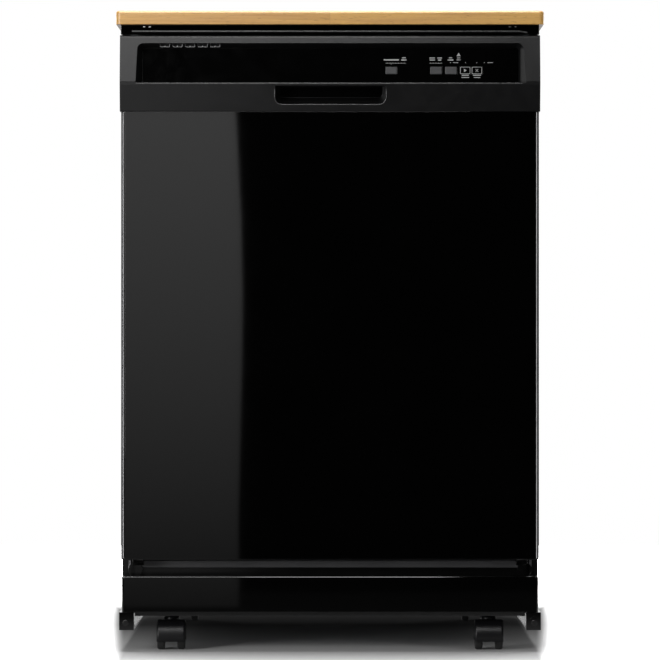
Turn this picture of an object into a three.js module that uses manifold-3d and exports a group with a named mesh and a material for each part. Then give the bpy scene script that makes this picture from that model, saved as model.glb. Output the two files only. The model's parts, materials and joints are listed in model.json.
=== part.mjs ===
// Portable dishwasher on casters, as an assembly of separate pieces.
// Millimetres. X is width (right is +), Y is depth (the door faces -Y), Z is height above
// the floor. The origin is at floor level, under the middle of the worktop.

import * as THREE from "three";
import { mergeVertices } from "three/addons/utils/BufferGeometryUtils.js";
import Module from "manifold-3d";

const wasm = await Module();
wasm.setup();

// ---------------------------------------------------------------------------
// Driving dimensions
// ---------------------------------------------------------------------------

const GAP = 0.3; // joint line between two pieces that seat on each other
const RUNNING = 0.4; // clearance round a shaft or a button
const STEEL = 1.2; // sheet steel
const WALL = 3; // wall of a plastic moulding

const WORKTOP = { width: 622, depth: 660, thick: 20.3, corner: 7, arris: 2.6, sideOverhang: 5.5 };
const FRAME = { height: 13, sideIn: 1, frontIn: 12, bar: 24, lip: 3, lipOut: 3, tie: 24, tieDeep: 5 };
const CABINET = { flange: 12, rearOverhang: 6.5 };

const CASTER = {
  sideIn: 73, inset: 66, height: 48, trail: 13, stem: 5.5, stemUp: 21.5, boss: 11, bossDeep: 14,
};
const WHEEL = { radius: 20, width: 11, gap: 18.4, axle: 3, bevel: 2.4, facets: 16 };
const HOOD = { cover: 4, over: 1, bottom: 12.8, rim: 1.4 };

const RAIL = { out: 1.5, bottom: 31, width: 21.5, height: 26, wall: 2.5, ahead: 2, rear: 16 };
const RAIL_BOLT = { radius: 6.5, head: 2.6 };
const BEAM = { depth: 60, height: 22, wall: 3, socket: 16, aboveCaster: 2 };
const KICK = { sideIn: 2, height: 52.1, setback: 12, wrap: 16, chamfer: 4 };
const PAN = { depth: 18, sideGap: 4, frontGap: 9.2, rearGap: 2.7, corner: 8 };
const TOE = { ahead: 2.5, lap: 1.5, fold: 9 };

const HINGE = { setback: 35, drop: 15.3, pin: 5, knuckle: 26, sideIn: 33.5, knuckleWide: 16 };
const ARM = { height: 180, thick: 6, flange: 12, rise: 6 };
const BRACKET = { thick: 3, eye: 12, base: 34, setback: 17.5, height: 30, side: 1 };

const DOOR = { sideIn: 1.8, panelHeight: 651, consoleHeight: 111.2, edge: 6, fold: 7 };
const DOOR_GAP = { kick: 2.4, top: 1.5 };
const LINER = {
  sideIn: 7.7, behindPin: 25, depth: 18, field: 6, margin: 46, top: 5, foot: 3.3, corner: 10,
};
const SEAL = { thick: 6.4, wide: 11, inset: 5, above: 34 };

const CONSOLE = { bulge: 5, lean: 9, shoulder: 7 };
const RECESS = {
  left: 23.5, right: 24.5, bottom: 40.6, height: 57.7, depth: 25, draft: 7, radius: 9,
};
const POCKET = { x: 0.7, width: 163, below: 3.4, height: 28.5, depth: 30, radius: 11, draft: 4 };
const VENT_SLOTS = { fromLeft: 57.5, count: 5, pitch: 18.3, wide: 15, deep: 12, back: 9 };

const FASCIA = { left: 6, right: 10, height: 40, thick: 5, up: 7, corner: 5 };
const BUTTON = { thick: 4, proud: 0.8, up: 19.9 };
const BUTTONS = [
  { name: "button_options", fromRight: 216.2, width: 16.5, height: 10.4 },
  { name: "button_dry", fromRight: 151.2, width: 16.5, height: 10.4 },
  { name: "button_cycle", fromRight: 129.4, width: 16.5, height: 10.4 },
  { name: "button_start", fromRight: 108.5, width: 15.7, height: 11.3 },
  { name: "button_cancel", fromRight: 91.5, width: 15.7, height: 11.3 },
];
const BOARD = { fromRight: 155.5, width: 190, height: 34, thick: 1.6, chip: 5 };

const TUB = { sideGap: 6.5, rearGap: 54, underFrame: 30.4, corner: 18, wall: 3, flange: 27 };
const TROUGH = { sideIn: 27, front: 18, rear: 13, abovePan: 77.7, deep: 26, corner: 30 };

const SUMP = { radius: 88, wall: 3, abovePan: 19.7, flange: 15, post: 8, collar: 3, facets: 18 };
const FILTER = { plate: 2.4, cup: 27, cupX: 42, cupY: 27, cupDeep: 38, cupUp: 14, sunk: 5 };
const HEATER = { radius: 160, rod: 3.5, height: 11, open: 24 };
const RISER = { wide: 30, thick: 12, dockUp: 22, bend: 12 };
const FLOAT = { sideIn: 53, frontIn: 50, radius: 22, height: 40, post: 4, postUp: 24 };

const SPRAY = { thick: 12, root: 24, tip: 15, hub: 24, blade: 5, nozzles: 3 };
const LOWER_ARM = { tipGap: 18, aboveLedge: 14 };
const UPPER_ARM = { tipGap: 18, pivot: 7 };

const WIRE = { size: 5.4, weld: 1.3, bend: 22 };
const RACK = { sideGap: 29, frontGap: 32 };
const LOWER_RACK = { rearGap: 28, aboveLedge: 40, height: 120, cross: 6, long: 7 };
const UPPER_RACK = { rearGap: 32, underTop: 334, height: 114, cross: 6, long: 7 };
const TINES = { perRow: 7, height: 74, low: 44.4, inset: 62 };
const RACK_WHEEL = { radius: 16, width: 9, axle: 3.5, inset: 63, lug: 20, lugThick: 5 };
const SLIDE_BAR = { height: 16, wide: 8, up: 42, lap: 5 };
const GUIDE = { roller: 8, plate: 3, frontIn: 26, spacing: 62, margin: 13, overlap: 5.5 };
const WATER_TUBE = { wide: 26, height: 15, front: -20, hanger: 18 };

const BASKET = {
  sideIn: 75, frontIn: 121, width: 84, length: 190, height: 118, wall: 2.4, cells: 3,
};
const BASKET_GRIP = { inset: 24, slope: 24, rise: 34, bar: 10, wide: 8 };
const DISPENSER = { x: 12, belowTop: 163.7, width: 164, height: 124, proud: 3, depth: 20 };
const CUP = { width: 62, height: 72, deep: 15, lid: 2.4, x: -40, z: -14 };
const CAP = { x: 44, z: 46, radius: 14, proud: 7, plug: 8 };
const DOOR_VENT = { sideIn: 91, belowTop: 25.7, radius: 44, proud: 4, rings: 2 };
const STRIKE = { aboveTub: 21, width: 22, wire: 3.4, thick: 4, reach: 30 };
const LATCH = { width: 52, height: 18, deep: 15, mouth: 9 };
const BAY = { width: 330, height: 175, depth: 38, aboveRail: 93, corner: 14, pegX: 90 };
const PUMP = { radius: 28, length: 82, volute: 31, voluteWide: 26, nozzle: 13 };
const DRAIN = { radius: 19, length: 52, volute: 24, voluteWide: 18, nozzle: 9 };
const PUMP_AXIS = { aboveSump: 17, stub: 9 };
const VALVE = {
  sideIn: 79.5, abovePan: 33.7, width: 44, height: 40, depth: 34, port: 12, coil: 13, coilUp: 24,
};

// ---------------------------------------------------------------------------
// Levels and planes that follow from them
// ---------------------------------------------------------------------------

const worktopFront = -WORKTOP.depth / 2;
const doorFront = worktopFront + CONSOLE.bulge;
const hingeY = doorFront + HINGE.setback;
const railTop = RAIL.bottom + RAIL.height;
const beamBottom = CASTER.height + BEAM.aboveCaster;
const beamTop = beamBottom + BEAM.height;
const panFloor = beamTop + GAP;
const kickBottom = railTop + GAP;
const kickTop = kickBottom + KICK.height;
const doorSweep = Math.hypot(HINGE.setback, HINGE.drop);
const hingeZ = kickTop + DOOR_GAP.kick + doorSweep;
const doorBottom = hingeZ - HINGE.drop;
const panelTop = doorBottom + DOOR.panelHeight;
const consoleTop = panelTop + DOOR.consoleHeight;
const frameBottom = consoleTop + DOOR_GAP.top;
const frameTop = frameBottom + FRAME.height;
const worktopBottom = frameTop + GAP;

const cabinetX = WORKTOP.width / 2 - WORKTOP.sideOverhang;
const railX = cabinetX + RAIL.out;
const kickX = cabinetX - KICK.sideIn;
const doorX = cabinetX - DOOR.sideIn;
const linerX = doorX - LINER.sideIn;
const knuckleX = cabinetX - HINGE.sideIn;
const casterX = cabinetX - CASTER.sideIn;
const tubX = cabinetX - TUB.sideGap - TUB.flange;
const troughX = tubX - TROUGH.sideIn;

const linerY = hingeY + LINER.behindPin;
const doorRear = linerY - LINER.depth - GAP;
const tubFront = linerY + SEAL.thick + 2 * GAP;
const cabinetFront = tubFront - GAP - STEEL;
const cabinetRear = WORKTOP.depth / 2 - CABINET.rearOverhang - STEEL - GAP;
const tubRear = cabinetRear - TUB.rearGap;
const troughFront = tubFront + TROUGH.front;
const troughRear = tubRear - TROUGH.rear;
const kickFront = doorFront + KICK.setback;
const railFront = kickFront - RAIL.ahead;

const tubTop = frameBottom - TUB.underFrame;
const troughFloor = panFloor + TROUGH.abovePan;
const ledge = troughFloor + TROUGH.deep;
const sumpBottom = panFloor + SUMP.abovePan;
const pumpZ = sumpBottom + PUMP_AXIS.aboveSump;
const strikeZ = tubTop + STRIKE.aboveTub;

const lowerBasket = {
  ...LOWER_RACK,
  halfX: tubX - RACK.sideGap,
  front: tubFront + RACK.frontGap,
  rear: tubRear - LOWER_RACK.rearGap,
  base: ledge + LOWER_RACK.aboveLedge,
  rim: ledge + LOWER_RACK.aboveLedge + LOWER_RACK.height,
};
const upperBasket = {
  ...UPPER_RACK,
  halfX: tubX - RACK.sideGap,
  front: tubFront + RACK.frontGap,
  rear: tubRear - UPPER_RACK.rearGap,
  base: tubTop - UPPER_RACK.underTop,
  rim: tubTop - UPPER_RACK.underTop + UPPER_RACK.height,
};
const lowerArm = { bottom: ledge + LOWER_ARM.aboveLedge, length: -troughFront - LOWER_ARM.tipGap };
const waterTubeZ = upperBasket.base - RISER.dockUp;
const waterTube = [waterTubeZ - 0.4 * WATER_TUBE.height, waterTubeZ + 0.6 * WATER_TUBE.height];
const upperArm = {
  bottom: waterTube[0] - GAP - SPRAY.thick,
  length: -upperBasket.front - UPPER_ARM.tipGap,
};

// ---------------------------------------------------------------------------
// Geometry helpers
// ---------------------------------------------------------------------------

/** A closed geometry as a solid that can be joined and cut. */
function solid(geometry) {
  const bare = geometry.clone();
  bare.deleteAttribute("normal");
  bare.deleteAttribute("uv");
  const merged = mergeVertices(bare, 1e-4);
  return new wasm.Manifold(
    new wasm.Mesh({
      numProp: 3,
      vertProperties: new Float32Array(merged.attributes.position.array),
      triVerts: new Uint32Array(merged.index.array),
    }),
  );
}

/** The solid as a geometry with flat faces. */
function geometryOf(made) {
  const { vertProperties, triVerts } = made.getMesh();
  const geometry = new THREE.BufferGeometry();
  geometry.setAttribute("position", new THREE.BufferAttribute(vertProperties, 3));
  geometry.setIndex(new THREE.BufferAttribute(triVerts, 1));
  const flat = geometry.toNonIndexed();
  flat.computeVertexNormals();
  return flat;
}

const join = (first, ...rest) => rest.reduce((sum, one) => sum.add(one), first);
const cut = (first, ...rest) => rest.reduce((sum, one) => sum.subtract(one), first);

/** Box between two corners. */
function box([x0, x1], [y0, y1], [z0, z1]) {
  const geometry = new THREE.BoxGeometry(x1 - x0, y1 - y0, z1 - z0);
  return solid(geometry.translate((x0 + x1) / 2, (y0 + y1) / 2, (z0 + z1) / 2));
}

/** Polygon whose corners [u, v, radius] are rounded by arcs of a few steps. */
function outline(corners, steps = 3) {
  const points = [];
  corners.forEach(([u, v, radius = 0], i) => {
    const here = new THREE.Vector2(u, v);
    if (!radius) return points.push(here);
    const [bu, bv] = corners.at(i - 1);
    const [au, av] = corners[(i + 1) % corners.length];
    const back = new THREE.Vector2(bu, bv).sub(here).normalize();
    const ahead = new THREE.Vector2(au, av).sub(here).normalize();
    const half = Math.acos(THREE.MathUtils.clamp(back.dot(ahead), -1, 1)) / 2;
    const middle = back.clone().add(ahead).normalize().multiplyScalar(radius / Math.sin(half));
    const from = back.clone().multiplyScalar(radius / Math.tan(half)).sub(middle);
    const turn = Math.sign(back.cross(ahead)) * (Math.PI - 2 * half);
    for (let k = 0; k <= steps; k++) {
      const spoke = from.clone().rotateAround(new THREE.Vector2(), (-turn * k) / steps);
      points.push(here.clone().add(middle).add(spoke));
    }
  });
  return new THREE.Shape(points);
}

/** Rectangle with rounded corners. */
function roundRect([u0, u1], [v0, v1], radius, steps = 3) {
  return outline([[u0, v0, radius], [u1, v0, radius], [u1, v1, radius], [u0, v1, radius]], steps);
}

/** Regular polygon standing for a circle, with a corner straight below its centre. */
function disc([u, v], radius, sides = 20) {
  const points = [];
  for (let k = 0; k < sides; k++) {
    const angle = (2 * Math.PI * k) / sides - Math.PI / 2;
    points.push(new THREE.Vector2(u + radius * Math.cos(angle), v + radius * Math.sin(angle)));
  }
  return new THREE.Shape(points);
}

const AXES = {
  x: [new THREE.Vector3(0, 1, 0), new THREE.Vector3(0, 0, 1), new THREE.Vector3(1, 0, 0)],
  y: [new THREE.Vector3(1, 0, 0), new THREE.Vector3(0, 0, 1), new THREE.Vector3(0, -1, 0)],
  z: [new THREE.Vector3(1, 0, 0), new THREE.Vector3(0, 1, 0), new THREE.Vector3(0, 0, 1)],
};

/** Shape swept along an axis: (Y, Z) along x, (X, Z) along y, or (X, Y) along z. */
function prism(axis, shape, [from, to]) {
  const geometry = new THREE.ExtrudeGeometry(shape, { depth: to - from, bevelEnabled: false });
  geometry.translate(0, 0, axis === "y" ? -to : from);
  return solid(geometry.applyMatrix4(new THREE.Matrix4().makeBasis(...AXES[axis])));
}

/** Profile of [radius, height] points turned about a vertical axis at (x, y). */
function turned(profile, [x, y] = [0, 0], segments = 24) {
  const closed = profile[0][0] === 0 ? profile : [...profile, profile[0]];
  const points = closed.map(([radius, z]) => new THREE.Vector2(radius, z));
  const geometry = new THREE.LatheGeometry(points, segments).rotateX(Math.PI / 2);
  return solid(geometry.translate(x, y, 0));
}

/** Flat-sided taper through rings that have the same number of points. */
function loft(...rings) {
  const count = rings[0].length;
  const index = [];
  for (let r = 0; r + 1 < rings.length; r++)
    for (let k = 0; k < count; k++) {
      const a = r * count + k;
      const b = r * count + ((k + 1) % count);
      index.push(a, b, b + count, a, b + count, a + count);
    }
  const last = (rings.length - 1) * count;
  for (let k = 1; k + 1 < count; k++) index.push(0, k + 1, k, last, last + k, last + k + 1);
  const geometry = new THREE.BufferGeometry();
  geometry.setAttribute("position", new THREE.Float32BufferAttribute(rings.flat(2), 3));
  geometry.setIndex(index);
  const made = solid(geometry);
  if (made.volume() > 0) return made;
  geometry.setIndex(index.reverse());
  return solid(geometry);
}

/** Curve through the given points, sampled exactly at them. */
class Route extends THREE.Curve {
  constructor(points) {
    super();
    this.points = points;
  }
  getPoint(t, target = new THREE.Vector3()) {
    return target.copy(this.points[Math.round(t * (this.points.length - 1))]);
  }
  getPointAt(u, target) {
    return this.getPoint(u, target);
  }
  getTangentAt(u, target = new THREE.Vector3()) {
    const last = this.points.length - 1;
    const i = Math.round(u * last);
    return target
      .subVectors(this.points[Math.min(i + 1, last)], this.points[Math.max(i - 1, 0)])
      .normalize();
  }
}

/** Route along corner points, its inner corners rounded to a bend radius. */
function bent(corners, bend, steps = 2) {
  const at = corners.map((p) => new THREE.Vector3(...p));
  const points = [at[0]];
  for (let i = 1; i + 1 < at.length; i++) {
    const back = at[i - 1].clone().sub(at[i]).normalize();
    const ahead = at[i + 1].clone().sub(at[i]).normalize();
    const half = back.angleTo(ahead) / 2;
    const from = at[i].clone().addScaledVector(back, bend / Math.tan(half));
    const to = at[i].clone().addScaledVector(ahead, bend / Math.tan(half));
    const middle = back.add(ahead).normalize().multiplyScalar(bend / Math.sin(half)).add(at[i]);
    for (let k = 0; k <= steps; k++) {
      const spoke = from.clone().sub(middle).lerp(to.clone().sub(middle), k / steps);
      points.push(spoke.setLength(bend).add(middle));
    }
  }
  points.push(at.at(-1));
  return new Route(points);
}

/** Bar of a given section along a route. */
function bar(route, section) {
  const steps = route.points.length - 1;
  return solid(new THREE.ExtrudeGeometry(section, { steps, extrudePath: route }));
}

const group = new THREE.Group();

/** Adds a named piece; a left-hand twin is the right-hand one mirrored. */
function add(name, made, material, { parent = group, mirrored = false } = {}) {
  const mesh = new THREE.Mesh(made.isBufferGeometry ? made : geometryOf(made), material);
  mesh.name = name;
  if (mirrored) mesh.scale.x = -1;
  parent.add(mesh);
  return mesh;
}

function finish(color, roughness, metalness = 0) {
  return () => new THREE.MeshStandardMaterial({ color, roughness, metalness });
}

const wood = finish(0xc59858, 0.5);
const glossBlack = finish(0x050505, 0.12, 0.1);
const satinBlack = finish(0x1a1a1b, 0.45);
const blackSteel = finish(0x101011, 0.3, 0.2);
const fasciaBlack = finish(0x030303, 0.08);
const buttonGrey = finish(0x4a4a4c, 0.5);
const casterBlack = finish(0x1c1c1d, 0.5);
const treadBlack = finish(0x121212, 0.7);
const greyPlastic = finish(0x8d9094, 0.5);
const paleGrey = finish(0xb9bcc0, 0.5);
const stainless = finish(0xb4b6b8, 0.35, 1);
const zinc = finish(0x9a9c9e, 0.45, 1);
const rubber = finish(0x1b1b1b, 0.85);
const nylon = finish(0x9aa3ad, 0.55);
const board = finish(0x1f5a34, 0.6);
const motorGrey = finish(0x55585c, 0.5, 0.4);

// ---------------------------------------------------------------------------
// Worktop and cabinet
// ---------------------------------------------------------------------------

function worktop() {
  const { width, depth, thick, corner, arris } = WORKTOP;
  const half = width / 2 - arris;
  const deep = depth / 2 - arris;
  const geometry = new THREE.ExtrudeGeometry(roundRect([-half, half], [-deep, deep], corner), {
    depth: thick - 2 * arris,
    bevelThickness: arris,
    bevelSize: arris,
    bevelSegments: 3,
  });
  return solid(geometry.translate(0, 0, worktopBottom + arris));
}

function topFrame() {
  const x = cabinetX - FRAME.sideIn;
  const front = worktopFront + FRAME.frontIn;
  const rear = cabinetRear;
  const ring = (out, z) =>
    cut(
      prism("z", roundRect([-x - out, x + out], [front - out, rear], 3, 2), z),
      box([-x + FRAME.bar, x - FRAME.bar], [front + FRAME.bar, rear - FRAME.bar], z),
    );
  const upper = ring(0, [frameBottom, frameTop]);
  const lip = box([-x + 3 * FRAME.lip, x - 3 * FRAME.lip], [front - FRAME.lipOut, front + 1],
    [frameBottom + 1, frameBottom + 1 + FRAME.lip]);
  const ties = [-1, 1].map((side) =>
    box([side * x / 3 - FRAME.tie / 2, side * x / 3 + FRAME.tie / 2],
      [front + FRAME.bar / 2, rear - FRAME.bar / 2], [frameTop - FRAME.tieDeep, frameTop]));
  return join(upper, lip, ...ties);
}

function sidePanel() {
  const inner = cabinetX - CABINET.flange;
  const section = outline([
    [inner, cabinetFront], [cabinetX, cabinetFront, 1.5], [cabinetX, cabinetRear, 1.5],
    [inner, cabinetRear], [inner, cabinetRear - STEEL], [cabinetX - STEEL, cabinetRear - STEEL],
    [cabinetX - STEEL, cabinetFront + STEEL], [inner, cabinetFront + STEEL],
  ]);
  return prism("z", section, [railTop + GAP, frameBottom - GAP]);
}

function rearPanel() {
  const y0 = cabinetRear + GAP;
  const x = cabinetX - FRAME.sideIn;
  const bottom = railTop + BAY.aboveRail;
  const bay = ([u, v], radius) =>
    roundRect([-BAY.width / 2 - u, BAY.width / 2 + u],
      [bottom - v, bottom + BAY.height + v], radius, 2);
  const sheet = box([-x, x], [y0, y0 + STEEL], [railTop + GAP, frameBottom - GAP]);
  const shell = prism("y", bay([STEEL, STEEL], BAY.corner + STEEL), [y0 - BAY.depth, y0 + STEEL]);
  const hollow = prism("y", bay([0, 0], BAY.corner), [y0 - BAY.depth + STEEL, y0 + STEEL + 1]);
  const peg = (side) =>
    join(
      prism("y", disc([side * BAY.pegX, bottom + BAY.height / 2], 9, 8),
        [y0 - BAY.depth + 0.4, y0 - 8]),
      prism("y", disc([side * BAY.pegX, bottom + BAY.height / 2], 15, 8), [y0 - 9, y0 - 5]),
    );
  return join(cut(join(sheet, shell), hollow), peg(-1), peg(1));
}

// ---------------------------------------------------------------------------
// Base: rails with the hinge brackets, caster beams, drip pan, kick and toe panels
// ---------------------------------------------------------------------------

/** Right-hand rail: an inward-facing channel, closed in front, with the hinge bracket on it. */
function baseRail() {
  const outer = railX;
  const inner = outer - RAIL.width;
  const rear = cabinetRear - RAIL.rear;
  const channel = cut(
    box([inner, outer], [railFront, rear], [RAIL.bottom, railTop]),
    box([inner - 1, outer - RAIL.wall], [railFront + RAIL.wall, rear + 1],
      [RAIL.bottom + RAIL.wall, railTop - RAIL.wall]),
  );
  const bolt = prism("y", disc([(inner + outer) / 2, (RAIL.bottom + railTop) / 2],
    RAIL_BOLT.radius, 6), [railFront - RAIL_BOLT.head, railFront + 1]);

  const x0 = knuckleX + HINGE.knuckleWide + BRACKET.side;
  const eye = BRACKET.eye;
  const footFront = hingeY + BRACKET.setback;
  const plate = prism("x", outline([
    [footFront, railTop - 1], [footFront + BRACKET.base, railTop - 1],
    [footFront + BRACKET.base, railTop + BRACKET.height], [hingeY + eye * 1.3, hingeZ + eye * 0.4, 3],
    [hingeY + eye * 0.3, hingeZ + eye, 6], [hingeY - eye, hingeZ + eye, 9],
    [hingeY - eye, hingeZ - eye, 9], [hingeY + 1, hingeZ - eye],
    [footFront, doorBottom - eye * 0.8],
  ]), [x0, x0 + BRACKET.thick]);
  const pin = prism("x", disc([hingeY, hingeZ], HINGE.pin, 12),
    [knuckleX - 2, x0 + BRACKET.thick + 2]);
  return join(channel, bolt, plate, pin);
}

const casterY = (end) => end * (WORKTOP.depth / 2 - CASTER.inset);

/** Downward-facing channel across the base, with a socket over each caster stem. */
function casterBeam(end) {
  const x = railX - RAIL.width - GAP;
  const y = casterY(end);
  const half = BEAM.depth / 2;
  const channel = cut(
    box([-x, x], [y - half, y + half], [beamBottom, beamTop]),
    box([-x - 1, x + 1], [y - half + BEAM.wall, y + half - BEAM.wall],
      [beamBottom - 1, beamTop - BEAM.wall]),
  );
  const sockets = [-1, 1].map((side) =>
    box([side * casterX - BEAM.socket, side * casterX + BEAM.socket],
      [y - half + 1, y + half - 1], [beamBottom, beamTop - 1]));
  const bore = CASTER.stem + RUNNING;
  const bores = [-1, 1].map((side) =>
    turned([[0, beamBottom - 1], [bore, beamBottom - 1], [bore, beamTop - 2], [0, beamTop - 2]],
      [side * casterX, y], 12));
  return cut(join(channel, ...sockets), ...bores);
}

function dripPan() {
  const x = railX - RAIL.width - PAN.sideGap;
  const front = cabinetFront - STEEL + PAN.frontGap;
  const rear = cabinetRear - PAN.rearGap;
  return cut(
    prism("z", roundRect([-x, x], [front, rear], PAN.corner, 2),
      [panFloor, panFloor + PAN.depth]),
    prism("z", roundRect([-x + STEEL, x - STEEL], [front + STEEL, rear - STEEL],
      PAN.corner - STEEL, 2),
      [panFloor + STEEL, panFloor + PAN.depth + 1]),
  );
}

function kickPanel() {
  const x = kickX;
  const c = KICK.chamfer;
  const face = (grow, y) =>
    prism("y", outline([[-x + grow, kickBottom], [x - grow, kickBottom],
      [x - grow, kickTop - 3 * c], [x - grow - c, kickTop - grow], [-x + grow + c, kickTop - grow],
      [-x + grow, kickTop - 3 * c]]), y);
  return cut(
    face(0, [kickFront, kickFront + KICK.wrap]),
    cut(face(STEEL, [kickFront + STEEL, kickFront + KICK.wrap + 1]),
      box([-x, x], [kickFront, kickFront + 2 * KICK.wrap], [kickBottom - 1, kickBottom + STEEL])),
  );
}

/** Strip behind the foot of the door, folded back over the front beam. */
function toePanel() {
  const x = knuckleX + HINGE.knuckleWide - 2;
  const front = cabinetFront - TOE.ahead;
  const top = doorBottom + TOE.lap;
  const foot = panFloor + GAP;
  const section = outline([
    [front, foot], [front + TOE.fold, foot], [front + TOE.fold, foot + STEEL],
    [front + STEEL, foot + STEEL], [front + STEEL, top], [front, top],
  ]);
  return prism("x", section, [-x, x]);
}

// ---------------------------------------------------------------------------
// Tub and what is fixed in it
// ---------------------------------------------------------------------------

const floatAt = [-(troughX - FLOAT.sideIn), troughFront + FLOAT.frontIn];

function tub() {
  const w = TUB.wall;
  const floor = troughFloor;
  const { corner } = TROUGH;
  const opening = (grow, y) =>
    prism("y", roundRect([-tubX - grow, tubX + grow], [ledge - grow, tubTop + grow],
      TUB.corner + grow), y);
  const bottom = (grow, z) =>
    prism("z", roundRect([-troughX - grow, troughX + grow],
      [troughFront - grow, troughRear + grow], corner + grow), z);
  const flangeX = tubX + TUB.flange;
  const flange = prism("y", roundRect([-flangeX, flangeX], [floor, frameBottom - GAP], 4, 2),
    [tubFront, tubFront + w]);
  const shell = join(opening(w, [tubFront, tubRear + w]), bottom(w, [floor - w, ledge]), flange);
  const post = turned([[0, floor - 1], [FLOAT.post, floor - 1], [FLOAT.post, floor + FLOAT.postUp],
    [0, floor + FLOAT.postUp]], floatAt, 10);
  const hole = turned([[0, floor - 9], [SUMP.radius + SUMP.wall + GAP, floor - 9],
    [SUMP.radius + SUMP.wall + GAP, floor + 9], [0, floor + 9]], [0, 0], SUMP.facets);
  return cut(
    join(cut(shell, opening(0, [tubFront - 1, tubRear]), bottom(0, [floor, ledge + 1])), post),
    hole,
  );
}

/** Seal round the sides and top of the tub's mouth. */
function tubSeal() {
  const x = tubX + SEAL.inset;
  const out = x + SEAL.wide;
  const foot = hingeZ + SEAL.above;
  const top = tubTop + SEAL.inset;
  const shape = outline([
    [-out, foot], [-x, foot], [-x, top, TUB.corner - 4], [x, top, TUB.corner - 4], [x, foot],
    [out, foot], [out, top + SEAL.wide - 2, TUB.corner], [-out, top + SEAL.wide - 2, TUB.corner],
  ]);
  return prism("y", shape, [linerY + GAP, tubFront - GAP]);
}

/** Bowl under the tub, with the post that carries the lower arm. */
function sump() {
  const { radius, wall, flange, post, collar } = SUMP;
  const bottom = sumpBottom;
  const out = radius + wall;
  const under = troughFloor - TUB.wall - GAP;
  const bowl = turned([
    [0, bottom], [out - 20, bottom], [out, bottom + 16], [out, under - 3.5],
    [out + flange, under - 3.5], [out + flange, under], [out, under], [out, troughFloor + 1],
    [radius, troughFloor + 1], [radius, bottom + 17], [radius - 19, bottom + wall],
    [0, bottom + wall],
  ], [0, 0], SUMP.facets);
  const top = lowerArm.bottom - GAP;
  const stub = lowerArm.bottom + SPRAY.thick - wall;
  const stem = turned([
    [0, bottom + 1], [post + collar + 2, bottom + 1], [post + collar, bottom + 20],
    [post + collar, top],
    [post, top], [post, stub], [0, stub],
  ], [0, 0], 10);
  return join(bowl, stem);
}

/** Strainer plate with the lift-out filter cup and its grip. */
function filter() {
  const z = troughFloor - FILTER.sunk;
  const { plate, cup, cupX, cupY, cupDeep, cupUp } = FILTER;
  const hub = SUMP.post + SUMP.collar + RUNNING;
  const sheet = turned([[hub, z], [SUMP.radius - GAP, z], [SUMP.radius - GAP, z + plate],
    [hub, z + plate]], [0, 0], SUMP.facets);
  const body = turned([[0, z - cupDeep], [cup - 4, z - cupDeep], [cup, z + 1], [cup, z + cupUp],
    [0, z + cupUp]], [cupX, cupY], 14);
  const inside = turned([[0, z - cupDeep + 2], [cup - 6, z - cupDeep + 2], [cup - 2, z + 1],
    [cup - 2, z + cupUp + 1], [0, z + cupUp + 1]], [cupX, cupY], 14);
  const grip = box([cupX - cup + 1, cupX + cup - 1], [cupY - 2, cupY + 2],
    [z + cupUp - 9, z + cupUp + 6]);
  return join(cut(join(sheet, body), inside), grip);
}

/** Motor, volute and nozzle turned about an axis along X; the nozzle meets the sump wall. */
function pump(size, side) {
  const wall = SUMP.radius + SUMP.wall + GAP;
  const a = wall + PUMP_AXIS.stub;
  const b = a + size.voluteWide;
  const end = b + size.length;
  const profile = [
    [0, wall], [size.nozzle, wall], [size.nozzle, a], [size.volute, a + 2], [size.volute, b - 2],
    [size.radius, b], [size.radius, end - 6], [size.radius - 6, end], [0, end],
  ];
  const points = profile.map(([radius, along]) => new THREE.Vector2(radius, along));
  const geometry = new THREE.LatheGeometry(points, 14).rotateZ(-Math.PI / 2);
  const casing = solid(geometry.translate(0, 0, pumpZ));
  const foot = box([b + 6, end - 12], [-size.radius * 0.7, size.radius * 0.7],
    [panFloor + STEEL + GAP, pumpZ - size.radius * 0.6]);
  return { made: join(casing, foot), mirrored: side < 0 };
}

function inletValve() {
  const { width, height, depth, port, coil, coilUp } = VALVE;
  const x = cabinetX - VALVE.sideIn;
  const z = panFloor + VALVE.abovePan;
  const rear = cabinetRear;
  const body = box([x - width / 2, x + width / 2], [rear - depth, rear - 5],
    [z - height / 2, z + height / 2]);
  const inlet = prism("y", disc([x, z], port, 12), [rear - 6, rear]);
  const magnet = turned([[0, z + height / 2 - 1], [coil, z + height / 2 - 1],
    [coil, z + height / 2 + coilUp], [0, z + height / 2 + coilUp]], [x, rear - depth / 2 - 2], 12);
  return join(body, inlet, magnet);
}

/** Heating rod: an open loop low in the trough, its feet down on the floor. */
function heatingElement() {
  const { radius, rod, height, open } = HEATER;
  const z = troughFloor + height;
  const points = [];
  const start = THREE.MathUtils.degToRad(90 + open);
  const sweep = THREE.MathUtils.degToRad(360 - 2 * open);
  for (let k = 0; k <= 22; k++) {
    const angle = start + (sweep * k) / 22;
    points.push(new THREE.Vector3(radius * Math.cos(angle), radius * Math.sin(angle), z));
  }
  const foot = (p, out) => [
    new THREE.Vector3(p.x + out * rod, p.y + 2 * rod, z - rod / 2),
    new THREE.Vector3(p.x + out * rod, p.y + 2 * rod, troughFloor + GAP),
  ];
  const first = foot(points[0], -1).reverse();
  const last = foot(points.at(-1), 1);
  return bar(new Route([...first, ...points, ...last]), disc([0, 0], rod, 5));
}

const waterTubeReach = 4;

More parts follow.
